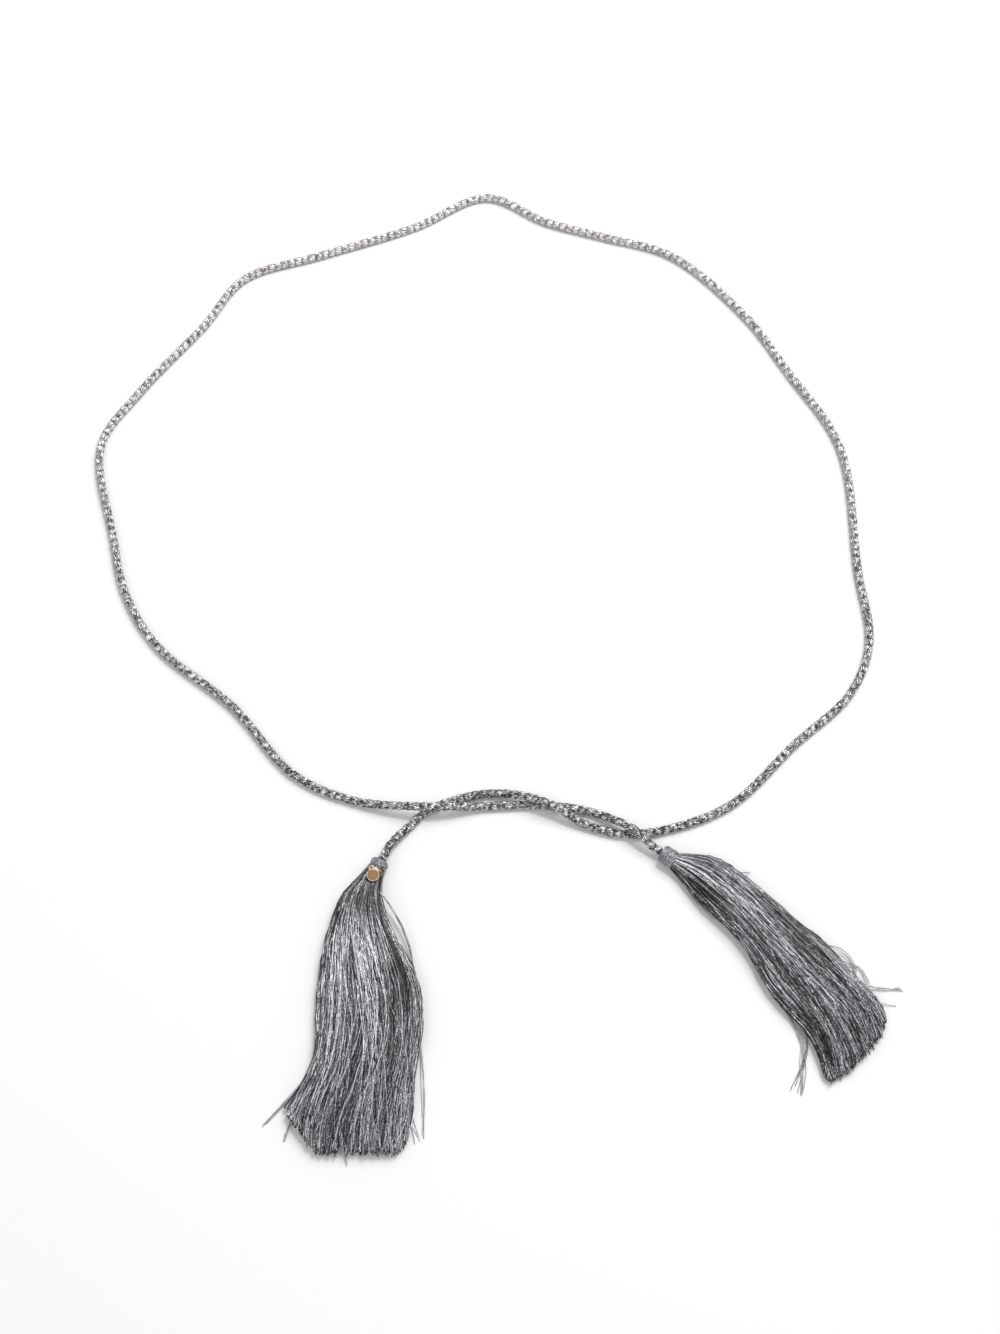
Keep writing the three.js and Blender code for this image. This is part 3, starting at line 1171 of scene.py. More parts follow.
@dataclass
class ThreadSkirt:
    """A skirt of loose threads, gathered at the neck and laid on the surface."""

    tassel: Tassel
    neck: Neck
    # The outer form, in metres and in shares of its height and width.
    thickness: float = 0.013
    head_radius: float = 0.005
    cad_neck_radius: float = 0.0039
    overlap: float = 0.0006
    widest_height: float = 0.35
    flatness: float = 1.8
    fullness: float = 1.02
    calmness: float = 0.8
    calm_samples: int = 60
    calm_degree: int = 4
    calm_after: float = 0.2
    calm_power: float = 2.5
    # How the threads are spread, and drawn together in locks. Widths run from -1 to 1.
    points: int = 24
    rounding: int = 2
    evenly_spread: float = 0.6
    crossing_depth: float = 0.3
    locks: int = 75
    lock_pull: tuple[float, float] = (0.05, 0.4)
    own_pull: tuple[float, float] = (0.5, 1.0)
    pull_fade: float = 0.6
    free_rate: float = 3.0
    free_power: float = 1.5
    slanted: float = 0.45
    own_slant: float = 0.35
    lock_slant: float = 0.1
    slant_power: float = 1.3
    lock_sway: tuple[float, ...] = (0.04, 0.02, 0.012)
    own_sway: tuple[float, ...] = (0.08, 0.045, 0.027, 0.018)
    # How unevenly they are cut, and how far they rise out of their layer.
    own_cut: float = 0.007
    lock_cut: tuple[float, float] = (-0.012, 0.004)
    lock_lift: tuple[float, ...] = (0.02, 0.02, 0.015)
    own_lift: tuple[float, ...] = (0.04, 0.03, 0.03)
    most_lift: float = 0.04
    # Their painted shade, mostly by depth: 0 lies at the surface, 1 deep under its neighbours, below 0 painted lighter.
    # Raised threads, the edges, the hem and the cut ends get painted light, the neck painted shade and dark gaps.
    sunk_depth: float = 0.16
    sunk_range: tuple[float, float] = (-0.6, 1.1)
    sunk_at_cut: float = 0.1
    lift_light: float = 2.5
    edge_light: float = 0.35
    edge_power: int = 8
    hem_light: float = 0.15
    hem_power: int = 3
    neck_reach: float = 0.16
    neck_gaps: int = 16
    gap_width: float = 0.024
    gap_shade: float = 1.3
    # The thread itself and its waves, in metres or as noise coordinates.
    wave: float = 0.0035
    wave_scale: float = 75.0
    wave_step: float = 331.0
    wave_rows: tuple[float, float] = (0.0, 5.0)
    free_after: float = 4.0
    neck_share: float = 0.6
    full_after: float = 5.0
    uneven_width: tuple[float, float] = (0.7, 1.25)
    thread_sides: int = 3
    fibre_scale: float = 170.0
    strand_step: float = 991.0
    cut_end: float = 0.7
    # The strays.
    stray_wave: float = 0.0015
    stray_radius: float = 0.00022
    stray_steps: int = 6
    stray_seed: int = 5
    stray_tree_seed: int = 40
    stray_opening: tuple[float, float] = (0.2, 1.0)

    @property
    def _share(self) -> np.ndarray:
        """The shares of a thread's length at its points."""
        return np.linspace(0, 1, self.points)

    @property
    def _free(self) -> np.ndarray:
        """How free a thread is of the neck at its points."""
        return np.clip(self._share * self.free_rate, 0, 1)[None, :] ** self.free_power

    def _layers(self) -> list[Layer]:
        """The skirt's layers, the outer one first."""
        upper, others, seed = self.tassel.upper_threads, self.tassel.other_threads, self.tassel.seed
        # Each with its threads, how far in they lie, the share on the upper side, their radius, finish and seed.
        return [
            Layer("upper_threads", upper, (0.0, 0.18), 0.93, 0.00028, SKIRT_THREAD, seed, True),
            Layer("lower_threads", others, (0.0, 0.15), 0.1, 0.0004, SKIRT_THREAD, seed + 1),
            # The inner layer takes the darker thread, a painted shade.
            Layer("inner_threads", others, (0.2, 0.9), 0.6, 0.0006, PAINTED_SHADE_THREAD, seed + 2),
        ]

    def _stations(self) -> np.ndarray:
        """The skirt's sections as plain numbers, from the neck to the hem.

        Returns:
            One row a section: distance along, middle x and y, heading, half width, base, top and widest.
        """
        tassel, neck = self.tassel, self.neck
        neck_top = self.head_radius + self.cad_neck_radius
        gathered = (tassel.neck_radius, self.head_radius - tassel.neck_radius, self.head_radius + tassel.neck_radius)
        start = neck.face + neck.forward * (neck.head_length - self.overlap)
        body = start + neck.forward * (neck.length + self.overlap)
        hang = math.radians(tassel.heading_deg)
        bend = (neck.heading - hang + math.pi) % (2 * math.pi) - math.pi
        onward, sideways = heading_vector(hang), heading_vector(hang + math.pi / 2)
        rows = [
            (along, *middle[:2], neck.heading, *gathered, self.head_radius)
            for along, middle in ((0.0, start), (neck.length, body))
        ]
        for s in tassel.sections:
            middle = body + onward * s.along * tassel.length + sideways * s.shift * tassel.width
            top = neck_top + s.rise * (self.thickness - neck_top)
            along = neck.length + s.along * tassel.length
            outline = (s.width * tassel.width / 2, 0.0, top, self.widest_height * top)
            rows.append((along, *middle[:2], hang + s.turn * bend, *outline))
        return np.array(rows)

    def _read(self, stations: np.ndarray, column: int, along: np.ndarray, u: np.ndarray) -> np.ndarray:
        """Reads a column of the stations: its true curve at the skirt's edges, a calmer one inside.

        Args:
            stations: The stations.
            column: The column's number.
            along: How far along the skirt each point lies.
            u: How far to the side it lies, -1 to 1.

        Returns:
            The column's value at each point.
        """
        true = smooth_read(along, stations[:, 0], stations[:, column])
        body = stations[1:]
        places = np.linspace(body[0, 0], body[-1, 0], self.calm_samples)
        calm_curve = np.polyfit(places, smooth_read(places, body[:, 0], body[:, column]), self.calm_degree)
        past_neck = np.clip((along - body[0, 0]) / (self.calm_after * self.tassel.length), 0, 1)
        inner = past_neck * (1 - np.abs(u) ** self.calm_power) * self.calmness
        return true + (np.polyval(calm_curve, along) - true) * inner

    def _sway(self, rng: np.random.Generator, count: int, sizes: Sequence[float]) -> np.ndarray:
        """Makes slow waves along each thread, each with a phase of its own.

        Args:
            rng: The random numbers.
            count: How many threads there are.
            sizes: The size of each wave, the longest first.

        Returns:
            The sway of each thread at each point.
        """
        total = np.zeros((count, self.points))
        for number, size in enumerate(sizes):
            phase = rng.uniform(0, 2 * math.pi, (count, 1))
            total += rng.normal(0, size, (count, 1)) * np.sin(self._share[None, :] * math.pi * (number + 1) + phase)
        return total

    def _draw(self, layer: Layer) -> Threads:
        """Draws where each thread of a layer starts, how deep it lies and which lock it belongs to.

        Args:
            layer: The layer.

        Returns:
            The threads.
        """
        rng = np.random.default_rng(layer.seed)
        n = layer.threads
        even, bunched = rng.uniform(-1, 1, n), np.sin(rng.uniform(-1, 1, n) * math.pi / 2)
        spread = np.where(rng.random(n) < self.evenly_spread, even, bunched)
        upper = rng.random(n) < layer.upper_share
        depth = rng.uniform(*layer.inward, n)
        slant = np.zeros(n)
        for crossing in self.tassel.crossings if layer.on_top else ():
            chosen = rng.random(n) < crossing.portion
            spread = np.where(chosen, rng.uniform(*crossing.starts, n), spread)
            slant = np.where(chosen, rng.uniform(*crossing.ends, n) - spread, slant)
            depth = np.where(chosen, self.crossing_depth * depth, depth)
        lock_middle = np.sort(rng.uniform(-1, 1, self.locks))
        lock = np.abs(spread[:, None] - lock_middle[None, :]).argmin(1)
        return Threads(rng, spread, upper, depth, slant, lock_middle, lock)

    def _across(self, threads: Threads) -> np.ndarray:
        """Lays the threads side by side, drawn together in locks.

        Args:
            threads: The threads.

        Returns:
            How far to the side each point lies, -1 to 1.
        """
        rng, n, lock, share = threads.rng, len(threads.spread), threads.lock, self._share[None, :]
        pull = rng.uniform(*self.lock_pull, self.locks)[lock] * rng.uniform(*self.own_pull, n)
        slant = np.where(rng.random(n) < self.slanted, rng.normal(0, self.own_slant, n), 0.0)
        slant = slant + rng.normal(0, self.lock_slant, self.locks)[lock]
        lock_sway = self._sway(rng, self.locks, self.lock_sway)[lock]
        sway = lock_sway + self._sway(rng, n, self.own_sway)
        pulled = ((threads.lock_middle[lock] - threads.spread) * pull)[:, None]
        u = threads.spread[:, None] + pulled * self._free * (1 - self.pull_fade * share**2)
        u = u + sway * self._free + (slant + threads.crossing_slant)[:, None] * share**self.slant_power
        u = np.where(np.abs(u) > 1, np.sign(u) * (2 - np.abs(u)), u)
        return np.clip(u, -1, 1)

    def _sunk(self, threads: Threads, u: np.ndarray, lift: np.ndarray, on_top: bool) -> np.ndarray:
        """Works out each point's painted shade: mostly how deep it lies among its neighbours, with painted light and
        shade added near the neck, on raised threads, at the edges and hem and in set patches.

        Args:
            threads: The threads.
            u: How far to the side each point lies, -1 to 1.
            lift: How far it is raised out of its layer.
            on_top: Whether the layer is the skirt's top one.

        Returns:
            The painted shade, 0 at the surface to about 1, and below 0 where it is painted lighter.
        """
        share = self._share[None, :]
        # Painted shade near the neck, and dark gaps painted between its threads.
        near_neck = np.exp(-((share / self.neck_reach) ** 2))
        from_gap = threads.spread[:, None] - threads.rng.uniform(-1, 1, self.neck_gaps)
        gap = np.exp(-((from_gap / self.gap_width) ** 2)).max(1)[:, None]
        neck_shade = (self.tassel.neck_shade + self.gap_shade * gap) * near_neck
        # Painted shade by depth, and painted light on raised threads.
        sunk = threads.depth[:, None] / self.sunk_depth - lift * self._free * self.lift_light + neck_shade
        # Painted light at the edges and towards the hem.
        sunk = sunk - self.edge_light * u**self.edge_power - self.hem_light * share**self.hem_power
        # Painted shade or light in the tassel's set patches.
        for shade in self.tassel.shades:
            away = ((u - shade.across) / shade.reach_across) ** 2 + ((share - shade.along) / shade.reach_along) ** 2
            sunk = sunk + shade.strength * np.exp(-away)
        clear, deep = self.sunk_range
        # Painted light at the cut ends.
        sunk[:, -1] = np.minimum(sunk[:, -1], self.sunk_at_cut if on_top else clear)
        return np.clip(sunk, clear, deep)

    def _threads(self, layer: Layer) -> tuple[list[np.ndarray], np.ndarray]:
        """Lays the threads of one layer.

        Args:
            layer: The layer.

        Returns:
            Each thread's points, from the neck to its cut end, and each point's painted shade.
        """
        threads = self._draw(layer)
        rng, n, lock = threads.rng, layer.threads, threads.lock
        u = self._across(threads)
        hem = np.interp(u[:, -1], *zip(*self.tassel.hem))
        cut = rng.normal(0, self.own_cut, n) + rng.uniform(*self.lock_cut, self.locks)[lock]
        along = (self.neck.length + self.tassel.length * (hem + cut))[:, None] * self._share[None, :]
        stations = self._stations()
        x, y, heading, half, base, top, widest = (self._read(stations, k, along, u) for k in range(1, 8))
        lift = self._sway(rng, self.locks, self.lock_lift)[lock]
        lift = np.minimum(lift + self._sway(rng, n, self.own_lift), self.most_lift)
        level = np.sqrt(np.maximum(0, 1 - u**2)) * (1 - (threads.depth[:, None] - lift * self._free))
        sunk = self._sunk(threads, u, lift, layer.on_top)
        inset = layer.thread_radius
        above = widest + (top - inset - widest) * level
        below = widest - (widest - base) * np.minimum(1, level * self.flatness) + inset
        z = np.maximum(np.where(threads.upper[:, None], above, below), inset)
        reach = half * u * self.fullness
        px, py = x - np.sin(heading) * reach, y + np.cos(heading) * reach
        for values in (px, py):
            for _ in range(self.rounding):
                values[:, 1:-1] = (values[:, :-2] + 2 * values[:, 1:-1] + values[:, 2:]) / 4
        return [np.stack([px[i], py[i], z[i]], axis=1) for i in range(n)], sunk

    def _tree(self, name: str, layer: Layer, wave: float) -> GeometryTree:
        """Makes the tree that turns chains of edges into threads.

        Args:
            name: The tree's name.
            layer: The layer that it makes.
            wave: How far a thread waves from side to side, in metres.

        Returns:
            The tree.
        """
        tree = GeometryTree(name, {
            "Thread Radius": layer.thread_radius,
            "Neck Share": self.neck_share,
            "Wave": wave,
            "Seed": layer.seed,
            "Thread": layer.finish.material(),
        })
        seed, neck_share = tree.given("Seed"), tree.given("Neck Share")
        lines = tree.store(tree.lines, "tone", tree.chance(0.0, 1.0, seed), "CURVE")
        lines = tree.store(lines, "width", tree.chance(*self.uneven_width, seed + 1), "CURVE")
        share = tree.read("GeometryNodeSplineParameter", "Factor")
        along = tree.read("GeometryNodeSplineParameter", "Length")
        onward, own = along * self.wave_scale, tree.stored("tone") * self.wave_step
        free = tree.math("MINIMUM", share * self.free_after, 1.0) * tree.given("Wave")
        shake_x, shake_y = (tree.noise(tree.vector(onward, own, row), 1.0, 2.0) - 0.5 for row in self.wave_rows)
        shake = tree.vector(shake_x * free, shake_y * free, 0.0)
        lines = tree.step("GeometryNodeSetPosition", Geometry=lines, Offset=shake)
        grown = neck_share + (1 - neck_share) * tree.math("MINIMUM", share * self.full_after, 1.0)
        lines = tree.step("GeometryNodeSetCurveRadius", Curve=lines, Radius=tree.stored("width") * grown)
        lines = tree.store(lines, "along", along)
        lines = tree.store(lines, "onward", tree.read("GeometryNodeInputTangent", "Tangent"))
        threads = tree.sweep(lines, tree.ring(self.thread_sides, tree.given("Thread Radius")))
        fibre = tree.vector(tree.stored("along") * self.fibre_scale, tree.stored("tone") * self.strand_step, 0.0)
        threads = tree.store(threads, "fibre", fibre)
        from_onward = tree.read("GeometryNodeInputNormal", "Normal") - tree.stored("onward", "FLOAT_VECTOR")
        sides = tree.math("GREATER_THAN", tree.length(from_onward), self.cut_end)
        threads = tree.step("GeometryNodeSetShadeSmooth", Geometry=threads, Shade_Smooth=False)
        threads = tree.step("GeometryNodeSetShadeSmooth", Geometry=threads, Selection=sides)
        tree.close(threads, "Thread")
        return tree

    def _stray_lines(self, studio: "Studio") -> list[np.ndarray]:
        """Lays the threads that lie apart from the skirt.

        Args:
            studio: The studio, whose camera gives a spot its place on the floor.

        Returns:
            Each stray's points.
        """
        rng = np.random.default_rng(self.stray_seed)
        lines = []
        for lock in self.tassel.strays:
            middle = np.array([studio.place(spot) for spot in lock.spots])
            opening = np.linspace(*self.stray_opening, len(middle))[:, None]
            for _ in range(lock.threads):
                points = middle + rng.normal(0, lock.spread * MM, (len(middle), 3)) * opening * (1, 1, 0)
                lines.append(spline_points(points, self.stray_steps))
        return lines

    def build(self, studio: "Studio") -> list[bpy.types.Object]:
        """Makes the layers and the strays.

        Args:
            studio: The studio, for the strays' places.

        Returns:
            The pieces, the outer layer first.
        """
        made = [(layer, *self._threads(layer), self.wave) for layer in self._layers()]
        stray = Layer("stray_threads", 0, (0.0, 0.0), 1.0, self.stray_radius, STRAY_THREAD, self.stray_tree_seed)
        made.append((stray, self._stray_lines(studio), None, self.stray_wave))
        pieces = []
        for layer, lines, sunk, wave in made:
            name = f"{layer.name}_{self.tassel.side.value}"
            piece = self._tree(name, layer, wave).bake(name, lines_mesh(name, lines, sunk))
            pieces.append(carried(piece))
        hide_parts(f"tassel_skirt_{self.tassel.side.value}")
        return pieces


# -------------------------------------------------------- tag and studio


class Wear(NamedTuple):
    """Where a part's edges get a painted highlight: from its middle, how much each axis counts, from where and to
    where.
    """

    middle: Vector
    reach: Vector
    starts: float
    ends: float


@dataclass
class MetalTag:
    """The band round the left neck, the bare disc on it and the thread that ties the disc.

    The tie's route is in millimetres: along the neck and across it from the band's middle, and up from the floor.
    """

    neck: Neck
    axis_height: float = 0.005
    seat_gap: float = 0.0003
    disc_radius: float = 0.0033
    # Where the disc's and the band's painted edge highlights begin and end.
    disc_wear: float = 0.85
    band_wear: tuple[float, float, float] = (0.35, 0.0012, 0.0018)
    tie_radius: float = 0.00013
    tie_sides: int = 6
    tie_steps: int = 8
    tie_shifts: tuple[float, ...] = (-0.16, 0.16)
    tie_fibre_scale: float = 900.0
    tie_tone: tuple[float, float] = (0.2, 1.0)
    tie_seed: int = 2
    tie_route: tuple[tuple[float, float, float], ...] = (
        (0.0, -1.7, 11.25), (0.9, -3.95, 8.75), (1.95, -4.35, 5.0), (2.1, -2.95, 1.95), (2.1, 0.0, 0.75),
        (2.1, 2.95, 1.95), (1.95, 4.35, 5.0), (0.9, 4.0, 8.7), (0.1, 1.2, 10.16), (0.0, -1.2, 10.16),
        (0.0, -1.75, 10.7), (0.0, -1.7, 11.25),
    )

    def _middle(self) -> np.ndarray:
        """The middle of the band."""
        along = self.neck.head_length + self.seat_gap + self.neck.length / 2
        return self.neck.face + self.neck.forward * along + np.array([0, 0, self.axis_height - self.neck.face[2]])

    def _dress(self) -> None:
        """Gives both CAD nodes their metal, with a painted highlight along their edges."""
        up, starts, ends = self.band_wear
        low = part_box("tag_disc")[0]
        disc_middle = Vector((low[0] + self.disc_radius, low[1] + self.disc_radius, 0.0))
        disc_wear = Wear(disc_middle, Vector((1.0, 1.0, 0.0)), self.disc_wear * self.disc_radius, self.disc_radius)
        painted_highlight = {"tag_band": Wear(Vector(self._middle()), Vector((0.0, 0.0, up)), starts, ends), "tag_disc": disc_wear}
        for name, where in painted_highlight.items():
            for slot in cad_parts[name].material_slots:
                slot.material = TAN_METAL.material(*where)

    def _tie_tree(self) -> GeometryTree:
        """Makes the tree that turns a route into thread.

        Returns:
            The tree.
        """
        slots = {"Thread Radius": self.tie_radius, "Seed": self.tie_seed, "Thread": TIE_THREAD.material()}
        tree = GeometryTree("tie", slots)
        curves = tree.store(tree.lines, "tone", tree.chance(*self.tie_tone, tree.given("Seed")), "CURVE")
        along = tree.read("GeometryNodeSplineParameter", "Length")
        curves = tree.store(curves, "fibre", tree.vector(along * self.tie_fibre_scale, 0.0, 0.0))
        made = tree.sweep(curves, tree.ring(self.tie_sides, tree.given("Thread Radius")))
        tree.close(tree.step("GeometryNodeSetShadeSmooth", Geometry=made), "Thread")
        return tree

    def build(self) -> list[bpy.types.Object]:
        """Dresses the metal and makes the tie through the disc's eye.

        Returns:
            The tie's piece.
        """
        self._dress()
        across = heading_vector(self.neck.heading + math.pi / 2)
        middle = self._middle()
        lines = []
        for shift in self.tie_shifts:
            points = [
                (*(middle + self.neck.forward * (onward + shift) * MM + across * aside * MM)[:2], height * MM)
                for onward, aside, height in self.tie_route
            ]
            lines.append(spline_points(np.array(points), self.tie_steps))
        return [carried(self._tie_tree().bake("tag_tie", lines_mesh("tag_tie", lines)))]


class Light(NamedTuple):
    """A soft round light: its place, width and power in watts."""

    name: str
    place: tuple[float, float, float]
    size: float
    power: float


@dataclass
class Studio:
    """The camera, the floor and the lights."""

    camera_place: tuple[float, float, float] = (-0.0455, -0.1875, 0.88)
    camera_tilt_deg: float = 23.0
    floor_size: float = 60.0
    aim: tuple[float, float, float] = (-0.05, 0.2, 0.0)
    light_from_all_round: float = 0.56
    lights: tuple[Light, ...] = (
        Light("key", (0.85, 1.15, 2.05), 1.5, 30.0),
        Light("fill", (-1.2, -0.7, 1.8), 1.2, 4.5),
        Light("sparkle", (0.3, 0.65, 1.5), 0.14, 5.5),
    )

    def camera(self) -> None:
        """Sets the camera at the photograph's angle."""
        data = bpy.data.cameras.new("camera")
        data.lens = SENSOR_WIDTH * PHOTO_FOCUS / PHOTO_HEIGHT
        data.sensor_width = SENSOR_WIDTH
        data.sensor_fit = "AUTO"
        camera = bpy.data.objects.new("camera", data)
        camera.location = self.camera_place
        camera.rotation_euler = (math.radians(self.camera_tilt_deg), 0.0, 0.0)
        bpy.context.scene.collection.objects.link(camera)
        bpy.context.scene.camera = camera

    def place(self, spot: Spot) -> np.ndarray:
        """Finds what a spot in the photograph shows.

        Args:
            spot: Its pixels and its height.

        Returns:
            The place in metres.
        """
        tilt = math.radians(90.0 - self.camera_tilt_deg)
        x, y = (spot.x - PHOTO_WIDTH / 2) / PHOTO_FOCUS, (PHOTO_HEIGHT / 2 - spot.y) / PHOTO_FOCUS
        reach_y = math.cos(tilt) + y * math.sin(tilt)
        reach_z = y * math.cos(tilt) - math.sin(tilt)
        far = (spot.height * MM - self.camera_place[2]) / reach_z
        return np.array([self.camera_place[0] + x * far, self.camera_place[1] + reach_y * far, spot.height * MM])

    def _floor(self) -> None:
        """Lays the pale floor."""
        half = self.floor_size / 2
        corners = [(-half, -half, 0.0), (half, -half, 0.0), (half, half, 0.0), (-half, half, 0.0)]
        mesh = bpy.data.meshes.new("floor")
        mesh.from_pydata(corners, [], [(0, 1, 2, 3)])
        mesh.materials.append(PALE_FLOOR.material())
        floor = bpy.data.objects.new("floor", mesh)
        bpy.context.scene.collection.objects.link(floor)

    def _light(self, light: Light) -> None:
        """Adds one light that faces the belt.

        Args:
            light: The light.
        """
        data = bpy.data.lights.new(light.name, "AREA")
        data.shape = "DISK"
        data.size = light.size
        data.energy = light.power
        lamp = bpy.data.objects.new(light.name, data)
        lamp.location = light.place
        aim = Vector(self.aim) - Vector(light.place)
        lamp.rotation_euler = aim.to_track_quat("-Z", "Y").to_euler()
        bpy.context.scene.collection.objects.link(lamp)

    def _world(self) -> None:
        """Sets the even light from all round."""
        world = bpy.data.worlds.new("studio")
        world.use_nodes = True
        graph = NodeGraph(world.node_tree)
        inputs = {"Color": tinted(1.0), "Strength": self.light_from_all_round}
        background = graph.node("ShaderNodeBackground", inputs=inputs)
        graph.put(graph.node("ShaderNodeOutputWorld"), "Surface", background.outputs["Background"])
        bpy.context.scene.world = world

    def build(self) -> None:
        """Sets the floor, the lights and the picture's contrast."""
        self._floor()
        for light in self.lights:
            self._light(light)
        self._world()
        bpy.context.scene.view_settings.view_transform = "Standard"


# ------------------------------------------------------- the tassels' tables


def sections(*rows: tuple[float, float, float, float, float]) -> list[SkirtSection]:
    """Names the columns of a skirt's rows."""
    return [SkirtSection(*row) for row in rows]


LEFT_SECTIONS = sections(
    (0.03, -0.03, 0.2, 0.15, 0.8), (0.08, -0.07, 0.32, 0.46, 0.6), (0.17, -0.065, 0.45, 0.76, 0.25),
    (0.25, -0.04, 0.575, 0.94, 0), (0.33, 0.015, 0.73, 1, 0), (0.42, 0.06, 0.82, 1, 0),
    (0.5, 0.07, 0.84, 0.91, 0), (0.58, 0.09, 0.845, 0.79, 0), (0.67, 0.075, 0.8, 0.64, 0),
    (0.75, 0.055, 0.83, 0.46, 0), (0.83, 0, 0.955, 0.27, 0), (0.92, -0.04, 1, -0.09, 0),
    (1, -0.02, 0.95, -0.75, 0),
)
RIGHT_SECTIONS = sections(
    (0.03, 0.085, 0.36, 0.21, 0.8), (0.08, 0.13, 0.5, 0.52, 0.6), (0.17, 0.16, 0.56, 0.82, 0.25),
    (0.25, 0.195, 0.58, 1, 0), (0.33, 0.225, 0.59, 1, 0), (0.42, 0.235, 0.615, 1, 0),
    (0.5, 0.215, 0.71, 0.91, 0), (0.58, 0.215, 0.84, 0.79, 0), (0.67, 0.2, 0.86, 0.64, 0),
    (0.75, 0.205, 0.82, 0.46, 0), (0.83, 0.22, 0.86, 0.27, 0), (0.92, 0.16, 0.94, -0.09, 0),
    (1, 0.045, 1, -0.75, 0),
)


CAP_OUTLINE = ((0.0, 0.62), (0.08, 0.84), (0.22, 0.97), (0.42, 1.0), (0.64, 0.98), (0.84, 0.89), (1.0, 0.76))
COLLAR_OUTLINE = ((0.0, 0.78), (0.05, 0.92), (0.2, 0.99), (0.5, 1.0), (0.8, 0.98), (0.93, 0.94), (1.0, 0.84))
LEFT_HEM = [
    (-1.0, 0.86), (-0.75, 0.93), (-0.41, 1.005), (-0.12, 1.0), (-0.05, 0.975), (0.02, 0.995), (0.3, 0.99),
    (0.84, 0.985), (0.96, 0.95), (1.0, 0.92),
]
RIGHT_HEM = [
    (-1.0, 0.95), (-0.876, 0.99), (-0.32, 1.01), (0.13, 1.0), (0.66, 0.995), (0.94, 0.96), (1.0, 0.91),
]
LEFT_STRAYS = [
    StrayLock(4, 0.9, [Spot(314, 1056, 3), Spot(303, 1082, 2), Spot(285, 1104, 1), Spot(263, 1125, 0.5)]),
    StrayLock(3, 1.2, [Spot(308, 1085, 3), Spot(296, 1112, 2), Spot(284, 1140, 0.6)]),
    StrayLock(3, 0.6, [Spot(380, 892, 7), Spot(394, 912, 6), Spot(409, 945, 4), Spot(416, 985, 2), Spot(418, 1030, 1)]),
    StrayLock(2, 0.5, [Spot(381, 893, 7), Spot(399, 922, 4), Spot(413, 962, 2), Spot(418, 1005, 1.5)]),
    StrayLock(3, 0.8, [Spot(415, 1010, 3), Spot(421, 1050, 1.5), Spot(424, 1095, 0.8), Spot(423, 1138, 0.5)]),
    StrayLock(3, 0.9, [Spot(412, 1050, 3), Spot(408, 1090, 1.5), Spot(411, 1120, 0.8), Spot(419, 1143, 0.5)]),
    StrayLock(2, 0.5, [Spot(343, 1135, 3), Spot(344, 1152, 1), Spot(346, 1166, 0.5)]),
]
RIGHT_STRAYS = [
    StrayLock(2, 0.4, [Spot(722, 864, 8), Spot(736, 872, 5), Spot(751, 872, 2)]),
    StrayLock(2, 0.7, [Spot(742, 883, 7), Spot(764, 896, 4), Spot(790, 915, 2), Spot(816, 936, 2)]),
    StrayLock(4, 0.9, [Spot(824, 944, 5), Spot(840, 951, 3), Spot(851, 960, 1.5), Spot(857, 974, 1)]),
    StrayLock(2, 0.7, [Spot(835, 958, 5), Spot(846, 963, 2.5), Spot(858, 968, 1), Spot(868, 983, 1)]),
    StrayLock(2, 0.5, [Spot(858, 984, 4), Spot(876, 988, 1.5), Spot(901, 990, 0.6)]),
    StrayLock(1, 0.4, [Spot(862, 983, 4), Spot(884, 990, 1.5), Spot(899, 986, 0.6)]),
    StrayLock(1, 0.4, [Spot(872, 1000, 4), Spot(883, 1003, 1.5), Spot(895, 1005, 0.6)]),
    StrayLock(6, 1.1, [
        Spot(776, 1000, 4), Spot(790, 1018, 2), Spot(802, 1040, 1), Spot(804, 1062, 0.8), Spot(800, 1094, 0.5),
    ]),
    StrayLock(3, 1.0, [Spot(794, 1016, 4), Spot(806, 1036, 1.5), Spot(805, 1060, 1), Spot(792, 1088, 0.5)]),
    StrayLock(2, 0.5, [Spot(684, 883, 5), Spot(693, 898, 2), Spot(706, 912, 1.5), Spot(724, 924, 2)]),
]
LEFT_CROSSINGS = [
    Crossing(0.05, (-0.45, 0.0), (0.3, 0.75)), Crossing(0.04, (0.1, 0.6), (-0.2, 0.3)),
    Crossing(0.03, (-0.9, -0.5), (-0.5, -0.1)),
]
RIGHT_CROSSINGS = [
    Crossing(0.09, (0.0, 0.6), (-0.75, -0.1)), Crossing(0.05, (-0.5, 0.0), (0.3, 0.8)),
    Crossing(0.03, (0.6, 0.95), (0.1, 0.5)),
]
# Each skirt's patches of painted shade, or of painted light where the strength is below 0.
LEFT_PAINTED_SHADES = [
    Shade(0.7, 0.42, 0.28, 0.13, 0.45), Shade(0.15, 0.13, 0.6, 0.06, 0.4), Shade(-0.2, 0.42, 0.5, 0.2, -0.12),
    Shade(0.25, 0.93, 0.7, 0.08, 0.12),
]
RIGHT_PAINTED_SHADES = [
    Shade(0.7, 0.5, 0.4, 0.22, 0.35), Shade(-0.75, 0.17, 0.3, 0.08, 0.45), Shade(-0.8, 0.86, 0.25, 0.12, 0.3),
    Shade(0.0, 0.6, 1.0, 0.5, 0.12), Shade(0.3, 0.95, 0.8, 0.07, 0.15),
]


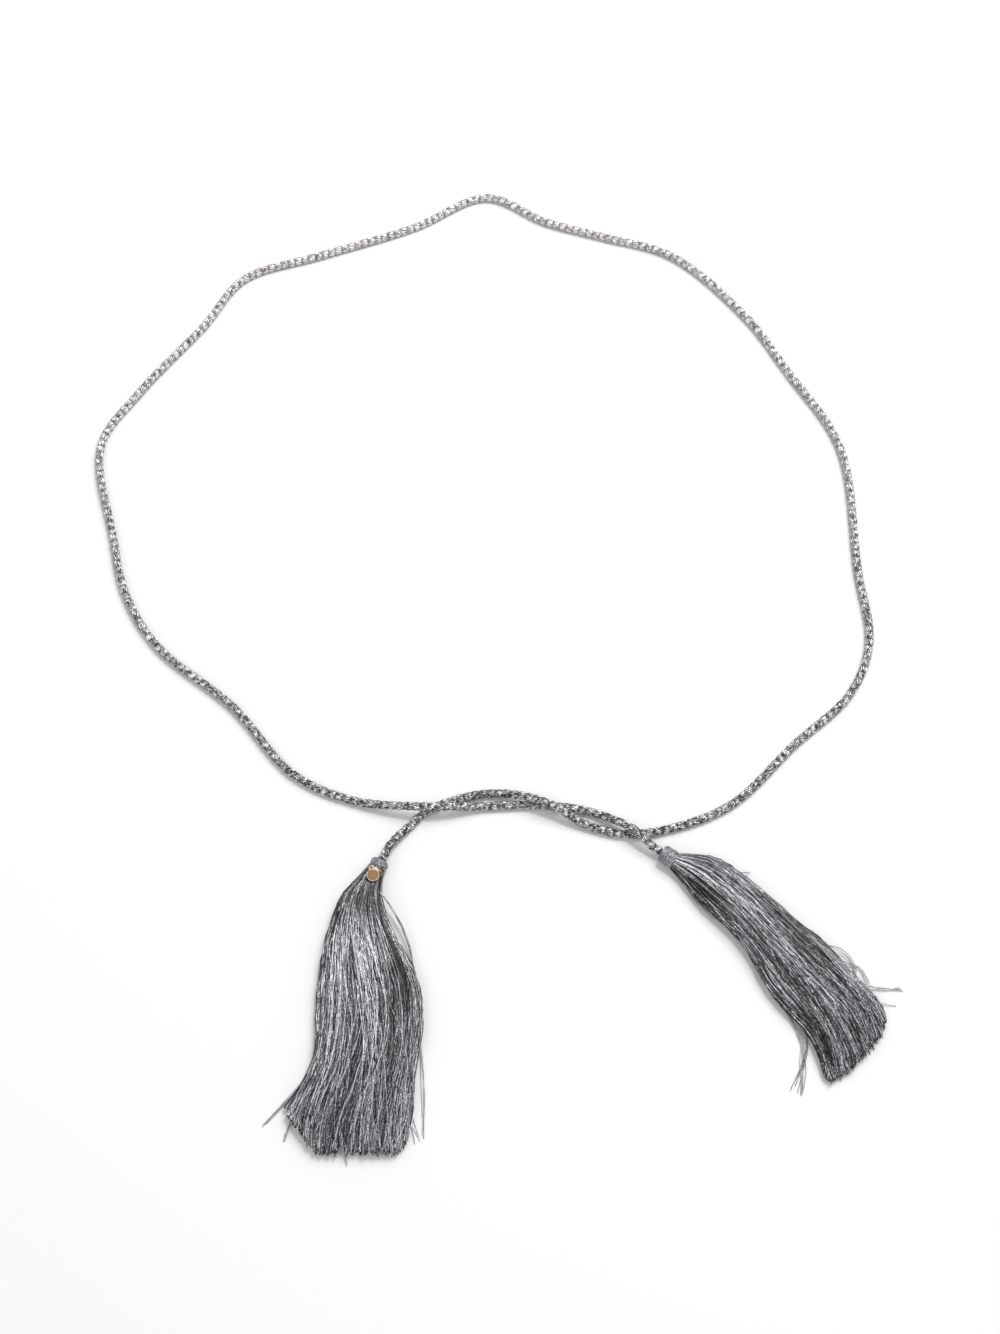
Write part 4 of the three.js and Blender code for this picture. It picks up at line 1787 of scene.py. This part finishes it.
LEFT_TASSEL = Tassel(
    Side.LEFT,
    head_length=0.0052,
    head_outline=CAP_OUTLINE,
    neck_length=0.0039,
    neck_radius=0.0039,
    neck_shade=0.1,
    heading_deg=-93.5,
    length=0.143,
    width=0.064,
    upper_threads=1380,
    other_threads=330,
    seed=11,
    sections=LEFT_SECTIONS,
    hem=LEFT_HEM,
    crossings=LEFT_CROSSINGS,
    shades=LEFT_PAINTED_SHADES,
    strays=LEFT_STRAYS,
)
RIGHT_TASSEL = Tassel(
    Side.RIGHT,
    head_length=0.009,
    head_outline=COLLAR_OUTLINE,
    neck_length=0.002,
    neck_radius=0.0044,
    neck_shade=-0.3,
    heading_deg=-50.0,
    length=0.134,
    width=0.046,
    upper_threads=1120,
    other_threads=270,
    seed=21,
    sections=RIGHT_SECTIONS,
    hem=RIGHT_HEM,
    crossings=RIGHT_CROSSINGS,
    shades=RIGHT_PAINTED_SHADES,
    strays=RIGHT_STRAYS,
)


# ---------------------------------------------------------------- whole belt


def tassel_pieces(tassel: Tassel, cord: BraidedCord, studio: Studio) -> list[bpy.types.Object]:
    """Builds one tassel on its end of the cord, and the tag where it carries one.

    Args:
        tassel: The tassel's values.
        cord: The cord.
        studio: The studio.

    Returns:
        All its pieces.
    """
    left = tassel.side is Side.LEFT
    tip, heading = cord.end(left)
    neck = Neck(tip + heading_vector(heading) * CORD_SEAT_GAP, heading, tassel.head_length, tassel.neck_length)
    pieces = WoundHead(tassel.side, neck, tassel.head_outline).build() + ThreadSkirt(tassel, neck).build(studio)
    return pieces + MetalTag(neck).build() if left else pieces


def main() -> None:
    """Builds the camera, the cord, the tassels, the tag and the studio."""
    logging.basicConfig(level=logging.INFO, format="%(name)s: %(message)s")
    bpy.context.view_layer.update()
    studio = Studio()
    studio.camera()
    cord = BraidedCord()
    pieces = cord.build()
    for tassel in (LEFT_TASSEL, RIGHT_TASSEL):
        pieces += tassel_pieces(tassel, cord, studio)
    studio.build()
    for piece in pieces:
        piece.data.calc_loop_triangles()
        LOG.info("%s: %d triangles", piece.name, len(piece.data.loop_triangles))
    bpy.context.view_layer.update()


if __name__ == "__main__":
    main()
